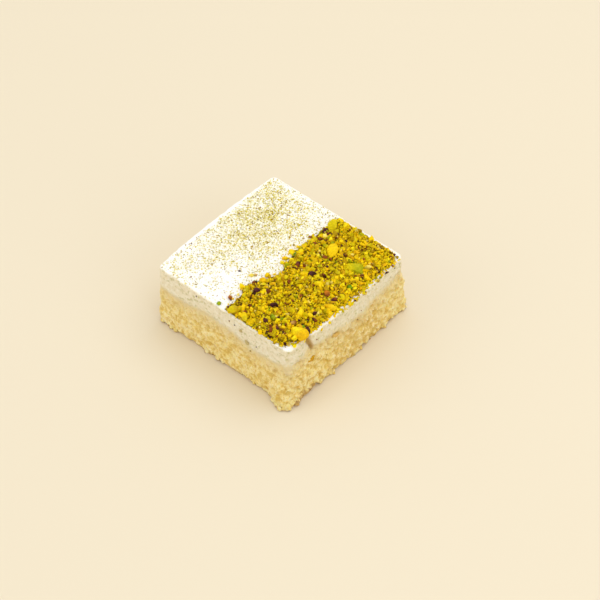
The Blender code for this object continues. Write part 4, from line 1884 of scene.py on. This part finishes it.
@dataclass
class PistachioBed:
    """The bed's own mass of fine nut, and the kernels that stand out of it."""

    form: SliceForm
    outline: BedForm
    cell: float = 0.0005
    thickness: float = 0.0015
    sunk: float = 0.0003
    rim: float = 0.0022
    inner_slope: float = 0.55
    inner_gap: float = 0.0007
    far_corner: float = 0.0034
    clear_share: float = 0.45
    seed: int = 21

    def mass(self) -> Mesh:
        """The thin layer under the chips, domed down to its ragged rim.

        Returns:
            The mesh.
        """
        outline = self.outline
        length, width = outline.far_x - outline.edge_x, outline.far_y - outline.near_y
        columns, rows = round(length / self.cell), round(width / self.cell)
        bm = bmesh.new()
        bmesh.ops.create_grid(bm, x_segments=columns, y_segments=rows, size=0.5)
        floor = self.form.total_height - self.sunk
        for vert in bm.verts:
            x = outline.edge_x + (vert.co.x + 0.5) * length
            y = outline.near_y + (vert.co.y + 0.5) * width
            inner = (x - outline.edge_x) * self.inner_slope
            inside = min(inner, outline.far_x - x, y - outline.near_y, outline.far_y - y)
            place = outline.point(x, y)
            lack = max(self.far_corner - (outline.far_x - x) - (outline.far_y - y), 0.0) / 2
            place -= Vector((lack, lack, 0.0))
            place.z = floor + self.sunk + self.thickness * smoothstep(-0.0006, self.rim, inside)
            vert.co = place
        rims = [edge for edge in bm.edges if edge.is_boundary]
        skirt = bmesh.ops.extrude_edge_only(bm, edges=rims)["geom"]
        for item in skirt:
            if isinstance(item, bmesh.types.BMVert):
                item.co.z = floor
        bottom = [edge for edge in bm.edges if edge.is_boundary]
        bmesh.ops.holes_fill(bm, edges=bottom, sides=0)
        bmesh.ops.recalc_face_normals(bm, faces=bm.faces)
        mesh = mesh_of(bm, "nut_mass")
        write_marks(mesh, ("bare",), [(self.clearance(v.co.x, v.co.y),) for v in mesh.vertices])
        return mesh

    def clearance(self, x: float, y: float) -> float:
        """0 where a large kernel lies or near the inner edge, and 1 where chips may lie.

        Args:
            x: Place along X.
            y: Place along Y.

        Returns:
            0 or 1.
        """
        if x - self.outline.edge(y) < self.inner_gap:
            return 0.0
        for kernel in KERNELS:
            turn = math.radians(kernel.turn)
            away = Vector((x - kernel.x, y - kernel.y)) @ Matrix.Rotation(turn, 2)
            if math.hypot(away.x / kernel.length, away.y / kernel.width) < self.clear_share:
                return 0.0
        return 1.0

    def mass_tree(self) -> GeometryTree:
        """Raises nut-sized bumps on the mass and tints each bump, darker towards its foot as
        painted shade.

        Returns:
            The tree.
        """
        tree = GeometryTree("nut_bumps", {"Bump Size": 1.5, "Bump Height": 1.0})
        cells = tree.cells(tree.place_mm, tree.calc("DIVIDE", 1.0, tree.size("Bump Size")))
        up = tree.ramp(cells.outputs["Distance"], 0.15, 0.75, 1.0, 0.0)
        top_mm = self.form.total_height / MM
        above = tree.ramp(tree.axes(tree.place_mm)[2], top_mm - 0.1, top_mm + 0.8)
        lift = tree.times(tree.times(up, above), tree.size("Bump Height"))
        offset = tree.node("ShaderNodeCombineXYZ", {2: tree.times(lift, 0.7 * MM)}).outputs[0]
        tint = picked_tint(tree, MASS_PALETTE, tree.axes(cells.outputs["Color"])[0])
        # Painted shade: each bump's tint is darkened towards its foot, and the whole mass kept
        # dim, for the gaps between the bits.
        tint = tree.scaled(tint, tree.ramp(up, 0.0, 0.8, 0.30, 0.85))
        raised = tree.pushed(tree.geometry, offset)
        tree.leave(tree.store(raised, "tint", tint, "FLOAT_COLOR", "POINT"), smooth=True)
        return tree

    def build(self, finish: Material) -> Object:
        """Makes the bed and its large kernels and joins them to the part.

        Args:
            finish: The nut's material.

        Returns:
            The bed.
        """
        mass = self.mass()
        bed = self.mass_tree().grow("pistachio_bed", mass, finish)
        bpy.data.meshes.remove(mass)
        settle(bed, "chopped_pistachio")
        placed = standing(KERNELS, self.form.total_height + self.thickness, raised=0.15)
        kernels = kernel_object("pistachio_kernels", placed, finish, self.seed)
        settle(kernels)
        return bed


@dataclass(frozen=True)
class NutCut:
    """How finely a kind of nut bit is cut, and how it is strewn."""

    name: str
    smallest: float
    largest: float
    skew: float
    palette: Palette
    seed: int
    lift: float = 0.0
    spacing: float = 0.0
    density: float = 0.0
    mask: str = ""
    ragged: float = 0.4
    fine: bool = False


BED_CUTS: tuple[NutCut, ...] = (
    NutCut(
        "pistachio_chips", 0.0010, 0.0026, 2.4, CHIP_PALETTE, 60,
        lift=0.22, spacing=0.00108, density=4.0e6,
    ),
    NutCut(
        "pistachio_crumbs", 0.0004, 0.0013, 1.2, CRUMB_PALETTE, 80,
        lift=0.42, spacing=0.00080, density=4.4e6,
    ),
)
LOOSE_CUTS: tuple[NutCut, ...] = (
    NutCut(
        "spilled_chips", 0.0006, 0.0017, 1.6, CHIP_PALETTE, 100,
        lift=0.15, density=3.6e5, mask="spill",
    ),
    NutCut(
        "ground_nut", 0.00024, 0.00070, 2.4, POWDER_PALETTE, 120,
        density=6.0e6, mask="dust", ragged=0.2, fine=True,
    ),
)


class NutTree(GeometryTree):
    """A tree that strews cut bits of nut over what it is given."""

    def __init__(self, cut: NutCut) -> None:
        """Opens the tree with the cut's sizes.

        Args:
            cut: The kind of bit that it strews.
        """
        sizes = {"Smallest": cut.smallest, "Largest": cut.largest, "Lift": cut.lift}
        sizes |= {"Spacing": cut.spacing, "Density": cut.density}
        super().__init__(cut.name, sizes)
        self.cut = cut

    def shapes(self) -> Socket:
        """A worn block, a faceted lump and a wedge, as instances to pick from.

        Returns:
            The three instances.
        """
        steps = 2 if self.cut.fine else 3
        terms = {0: (1.0, 1.0, 1.0), 1: steps, 2: steps, 3: steps}
        block = self.node("GeometryNodeMeshCube", terms)
        corner = self.node("GeometryNodeInputPosition").outputs[0]
        ball = self.scaled(self.vector("NORMALIZE", corner), 0.56)
        worn = self.node("ShaderNodeMix", {0: 0.38, 4: corner, 5: ball}, data_type="VECTOR")
        terms = {"Geometry": block.outputs[0], "Position": worn.outputs[1]}
        worn_block = self.node("GeometryNodeSetPosition", terms).outputs[0]
        lump = self.node("GeometryNodeMeshIcoSphere", {"Radius": 0.58, "Subdivisions": 1})
        slab = self.node("GeometryNodeMeshCube", {0: (1.1, 0.9, 0.8), 1: steps, 2: 2, 3: 2})
        taper = self.calc("MULTIPLY_ADD", self.axes(corner)[2], -0.9, 0.75)
        narrow = self.node("ShaderNodeCombineXYZ", {0: taper, 1: taper, 2: 1.0}).outputs[0]
        terms = {"Geometry": slab.outputs[0], "Position": self.vector("MULTIPLY", corner, narrow)}
        wedge = self.node("GeometryNodeSetPosition", terms).outputs[0]
        gathered = self.node("GeometryNodeJoinGeometry")
        for shape in (worn_block, lump.outputs[0], wedge):
            instance = self.node("GeometryNodeGeometryToInstance", {0: shape}).outputs[0]
            self.plug(instance, gathered.inputs[0])
        return gathered.outputs[0]

    def strewn(self, points: Term, rotation: Term, stretch: Term) -> None:
        """Puts bits on the points, tints and roughens them, and ends the tree.

        Args:
            points: Where the bits go.
            rotation: How each is turned.
            stretch: How each is stretched.
        """
        cut = self.cut
        spread = self.calc("POWER", self.chance(0.0, 1.0, cut.seed + 1), cut.skew)
        span = self.calc("SUBTRACT", self.size("Largest"), self.size("Smallest"))
        width = self.calc("MULTIPLY_ADD", spread, span, self.size("Smallest"))
        raised = self.times(width, self.size("Lift"))
        offset = self.node("ShaderNodeCombineXYZ", {2: raised}).outputs[0]
        terms = {4: 0, 5: 2, 8: cut.seed + 5}
        pick = self.node("FunctionNodeRandomValue", terms, data_type="INT").outputs[2]
        placed = self.node("GeometryNodeInstanceOnPoints", {
            "Points": self.pushed(points, offset),
            "Instance": self.shapes(),
            "Pick Instance": True,
            "Instance Index": pick,
            "Rotation": rotation,
            "Scale": self.scaled(stretch, width),
        })
        tint = picked_tint(self, cut.palette, self.chance(0.0, 1.0, cut.seed + 6))
        tint = self.scaled(tint, self.chance(*BRIGHTNESS, cut.seed + 7))
        tinted = self.store(placed.outputs[0], "tint", tint, "FLOAT_COLOR", "INSTANCE")
        real = self.node("GeometryNodeRealizeInstances", {0: tinted}).outputs[0]
        waves = self.calc("DIVIDE", 1.6, self.calc("DIVIDE", self.size("Largest"), MM))
        amount = self.times(self.size("Largest"), cut.ragged)
        self.leave(self.wobbled(real, waves, detail=1.0, amount=amount), smooth=False)


@dataclass
class BedChips:
    """Bits of nut that are packed over the whole bed."""

    cut: NutCut
    form: SliceForm

    def tree(self) -> NutTree:
        """Strews bits over the bed's top, clear of the large kernels.

        Returns:
            The tree.
        """
        tree = NutTree(self.cut)
        top_mm = self.form.total_height / MM
        above = tree.calc("GREATER_THAN", tree.axes(tree.place_mm)[2], top_mm - 0.25)
        faces_up = tree.calc("GREATER_THAN", tree.axes(tree.normal)[2], 0.05)
        clear = tree.calc("GREATER_THAN", tree.named("bare"), 0.5)
        points = tree.scattered({
            "Selection": tree.times(tree.times(faces_up, above), clear),
            "Distance Min": tree.size("Spacing"),
            "Density Max": tree.size("Density"),
            "Seed": self.cut.seed,
        }, method="POISSON")
        rotation = tree.chances((0.0,) * 3, (math.tau,) * 3, self.cut.seed + 2)
        stretch = tree.chances((0.80, 0.60, 0.42), (1.30, 1.00, 0.85), self.cut.seed + 3)
        tree.strewn(points, rotation, stretch)
        return tree

    def build(self, bed: Object, finish: Material) -> None:
        """Strews the bits over the bed and joins them to the part."""
        settle(self.tree().grow(self.cut.name, bed.data, finish))


@dataclass
class Sprinkle:
    """Bits of nut that lie loose on the cream, as thickly as a stored mask says."""

    cut: NutCut

    def tree(self) -> NutTree:
        """Scatters bits over the cream where the mask is high.

        Returns:
            The tree.
        """
        tree = NutTree(self.cut)
        density = tree.times(tree.named(self.cut.mask), tree.size("Density"))
        points = tree.scattered({"Density": density, "Seed": self.cut.seed})
        rotation = tree.chances((-0.5, -0.5, 0.0), (0.5, 0.5, math.tau), self.cut.seed + 2)
        stretch = tree.chances((0.8, 0.6, 0.35), (1.5, 1.0, 0.7), self.cut.seed + 3)
        tree.strewn(points, rotation, stretch)
        return tree

    def build(self, cream: Object, finish: Material) -> None:
        """Sprinkles the cream and joins the bits to the part."""
        settle(self.tree().grow(self.cut.name, cream.data, finish))


class Side(Enum):
    """A cut side of the slice, by the way that it faces."""

    LEFT_FRONT = (0.0, -1.0)
    RIGHT_FRONT = (1.0, 0.0)


@dataclass(frozen=True)
class WallSpeck:
    """A bit of nut that the knife smeared onto a cut side."""

    side: Side
    along: float
    height: float
    length: float
    tint: Tint
    turn: float = 0.0
    broad: float = 0.7


WALL_SPECKS: tuple[WallSpeck, ...] = (
    WallSpeck(Side.LEFT_FRONT, -0.0155, 0.0331, 0.0014, Tint.PLUM, 70),
    WallSpeck(Side.LEFT_FRONT, 0.0048, 0.0311, 0.0011, Tint.RUST, 20),
    WallSpeck(Side.LEFT_FRONT, 0.0078, 0.0306, 0.0010, Tint.PLUM, 40),
    WallSpeck(Side.LEFT_FRONT, 0.0120, 0.0297, 0.0024, Tint.FAWN, 0, 0.9),
    WallSpeck(Side.LEFT_FRONT, 0.0156, 0.0249, 0.0030, Tint.FAWN, -20, 0.9),
    WallSpeck(Side.LEFT_FRONT, 0.0210, 0.0257, 0.0009, Tint.PLUM, 0),
    WallSpeck(Side.LEFT_FRONT, 0.0179, 0.0212, 0.0010, Tint.SHADE, 30),
    WallSpeck(Side.RIGHT_FRONT, -0.0284, 0.0338, 0.0026, Tint.TAN, 60),
    WallSpeck(Side.RIGHT_FRONT, -0.0250, 0.0195, 0.0048, Tint.HONEY, 80, 0.95),
    WallSpeck(Side.RIGHT_FRONT, -0.0217, 0.0302, 0.0010, Tint.RUST, 0),
    WallSpeck(Side.RIGHT_FRONT, 0.0068, 0.0199, 0.0008, Tint.PLUM, 0),
    WallSpeck(Side.RIGHT_FRONT, 0.0333, 0.0328, 0.0009, Tint.PLUM, 0),
    WallSpeck(Side.RIGHT_FRONT, -0.0098, 0.0236, 0.0064, Tint.CARAMEL, -23, 0.45),
    WallSpeck(Side.RIGHT_FRONT, 0.0162, 0.0162, 0.0018, Tint.CARAMEL, 0),
)


@dataclass
class CornerFoot:
    """The larger nodules of crumb that the sponge has shed at its foot, most at the front."""

    seed: int = 33
    raised: float = 0.42
    depth_mm: float = -22.0
    # Stored rise, which the crumb's finish reads for its painted highlight and shade.
    rise: float = 0.55

    def build(self, finish: Material) -> None:
        """Makes the nodules and joins them to the part.

        Args:
            finish: The crumb's material.
        """
        placed = standing(FOOT_LUMPS, 0.0, self.raised)
        lumps = kernel_object("foot_lumps", placed, finish, self.seed)
        rest_on_floor(lumps.data)
        marks = [(self.depth_mm, self.rise)] * len(lumps.data.vertices)
        write_marks(lumps.data, ("depth", "rise"), marks)
        settle(lumps)


@dataclass
class LooseNuts:
    """The larger bits that lie apart on the bare cream, and those on the cut sides."""

    form: SliceForm
    seed: int = 40
    flatness: float = 0.35
    thickest: float = 0.0012

    def wall_kernel(self, speck: WallSpeck) -> tuple[Kernel, Matrix]:
        """A flat kernel half sunk in the wall that the speck names.

        Args:
            speck: The speck.

        Returns:
            The kernel and where it stands.
        """
        facing = Vector(speck.side.value)
        along = Vector((-facing.y, facing.x)) * speck.along
        nominal = facing * self.form.half + along
        place = self.form.wall_point(nominal.x, nominal.y, speck.height, 0.0)
        lie = facing.to_3d().to_track_quat("Z", "Y").to_matrix().to_4x4()
        thick = min(speck.length * self.flatness, self.thickest)
        kernel = Kernel(
            x=0.0,
            y=0.0,
            length=speck.length,
            width=speck.length * speck.broad,
            height=thick,
            turn=speck.turn,
            start=speck.tint,
            end=speck.tint,
        )
        return kernel, Matrix.Translation(place) @ lie

    def build(self, finish: Material) -> None:
        """Makes both kinds and joins them to the part.

        Args:
            finish: The nut's material.
        """
        strays = standing(STRAYS, self.form.total_height, raised=0.3)
        settle(kernel_object("stray_nuts", strays, finish, self.seed))
        specks = [self.wall_kernel(speck) for speck in WALL_SPECKS]
        settle(kernel_object("wall_specks", specks, finish, self.seed + 1))


@dataclass(frozen=True)
class SoftLight:
    """One square softbox: where it stands, how wide it is and how strong."""

    name: str
    place: Vector
    width: float
    power: float


@dataclass
class Studio:
    """A pale floor, soft light and the camera at the photograph's angle."""

    azimuth: float = 41.5
    elevation: float = 47.35
    distance: float = 1.058
    aim: Vector = field(default_factory=lambda: Vector((0.0010, 0.0122, 0.0)))
    lens: float = 134.1
    sensor: float = 36.0
    floor_half: float = 3.0
    floor_colour: Colour = linear(227, 214, 187)
    sky: float = 0.88

    def floor(self) -> None:
        """Lays the floor."""
        bm = bmesh.new()
        bmesh.ops.create_grid(bm, x_segments=1, y_segments=1, size=self.floor_half)
        floor = add_object("floor", mesh_of(bm, "floor"))
        material = bpy.data.materials.new("pale_floor")
        material.use_nodes = True
        shader = material.node_tree.nodes["Principled BSDF"]
        shader.inputs["Base Color"].default_value = rgba(self.floor_colour)
        shader.inputs["Roughness"].default_value = 0.6
        floor.data.materials.append(material)

    def lights(self) -> None:
        """Sets the softboxes and the even light from all round."""
        boxes = (
            SoftLight("key", Vector((0.15, 0.40, 1.20)), 1.1, 5.0),
            SoftLight("left_fill", Vector((-0.60, -1.05, 0.65)), 1.0, 2.7),
            SoftLight("right_fill", Vector((1.15, -0.10, 0.55)), 1.0, 2.0),
        )
        for box in boxes:
            lamp = bpy.data.lights.new(box.name, "AREA")
            lamp.size = box.width
            lamp.energy = box.power
            holder = bpy.data.objects.new(box.name, lamp)
            holder.location = box.place
            holder.rotation_euler = (-box.place).to_track_quat("-Z", "Y").to_euler()
            bpy.context.scene.collection.objects.link(holder)
        world = bpy.data.worlds.new("studio")
        world.use_nodes = True
        background = world.node_tree.nodes["Background"]
        background.inputs["Strength"].default_value = self.sky
        background.inputs["Color"].default_value = (1.0, 1.0, 1.0, 1.0)
        bpy.context.scene.world = world

    def camera(self) -> None:
        """Stands the camera where the photograph was taken from."""
        turn, rise = math.radians(self.azimuth), math.radians(self.elevation)
        flat = math.cos(rise)
        back = Vector((math.sin(turn) * flat, -math.cos(turn) * flat, math.sin(rise)))
        lens = bpy.data.cameras.new("camera")
        lens.lens = self.lens
        lens.sensor_width = self.sensor
        camera = bpy.data.objects.new("camera", lens)
        camera.location = self.aim + back * self.distance
        camera.rotation_euler = (-back).to_track_quat("-Z", "Y").to_euler()
        bpy.context.scene.collection.objects.link(camera)
        bpy.context.scene.camera = camera

    def build(self) -> None:
        """Sets up floor, lights, camera and plain colours."""
        self.floor()
        self.lights()
        self.camera()
        bpy.context.scene.view_settings.view_transform = "Standard"


def main() -> None:
    """Builds the slice from the bottom up, then the studio around it."""
    logging.basicConfig(level=logging.INFO)
    form, outline = SliceForm(), BedForm()
    crumb = CrumbFinish(CrumbColours()).build()
    white = CreamFinish(CreamColours()).build()
    nut = NutFinish().build()
    sponge = SpongeBlock(form).build(crumb)
    FootCrumbs().build(sponge, crumb)
    CornerFoot().build(crumb)
    cream = CreamLayer(form, outline).build(white)
    bed = PistachioBed(form, outline).build(nut)
    for cut in BED_CUTS:
        BedChips(cut, form).build(bed, nut)
    for cut in LOOSE_CUTS:
        Sprinkle(cut).build(cream, nut)
    LooseNuts(form).build(nut)
    Studio().build()


if __name__ == "__main__":
    main()
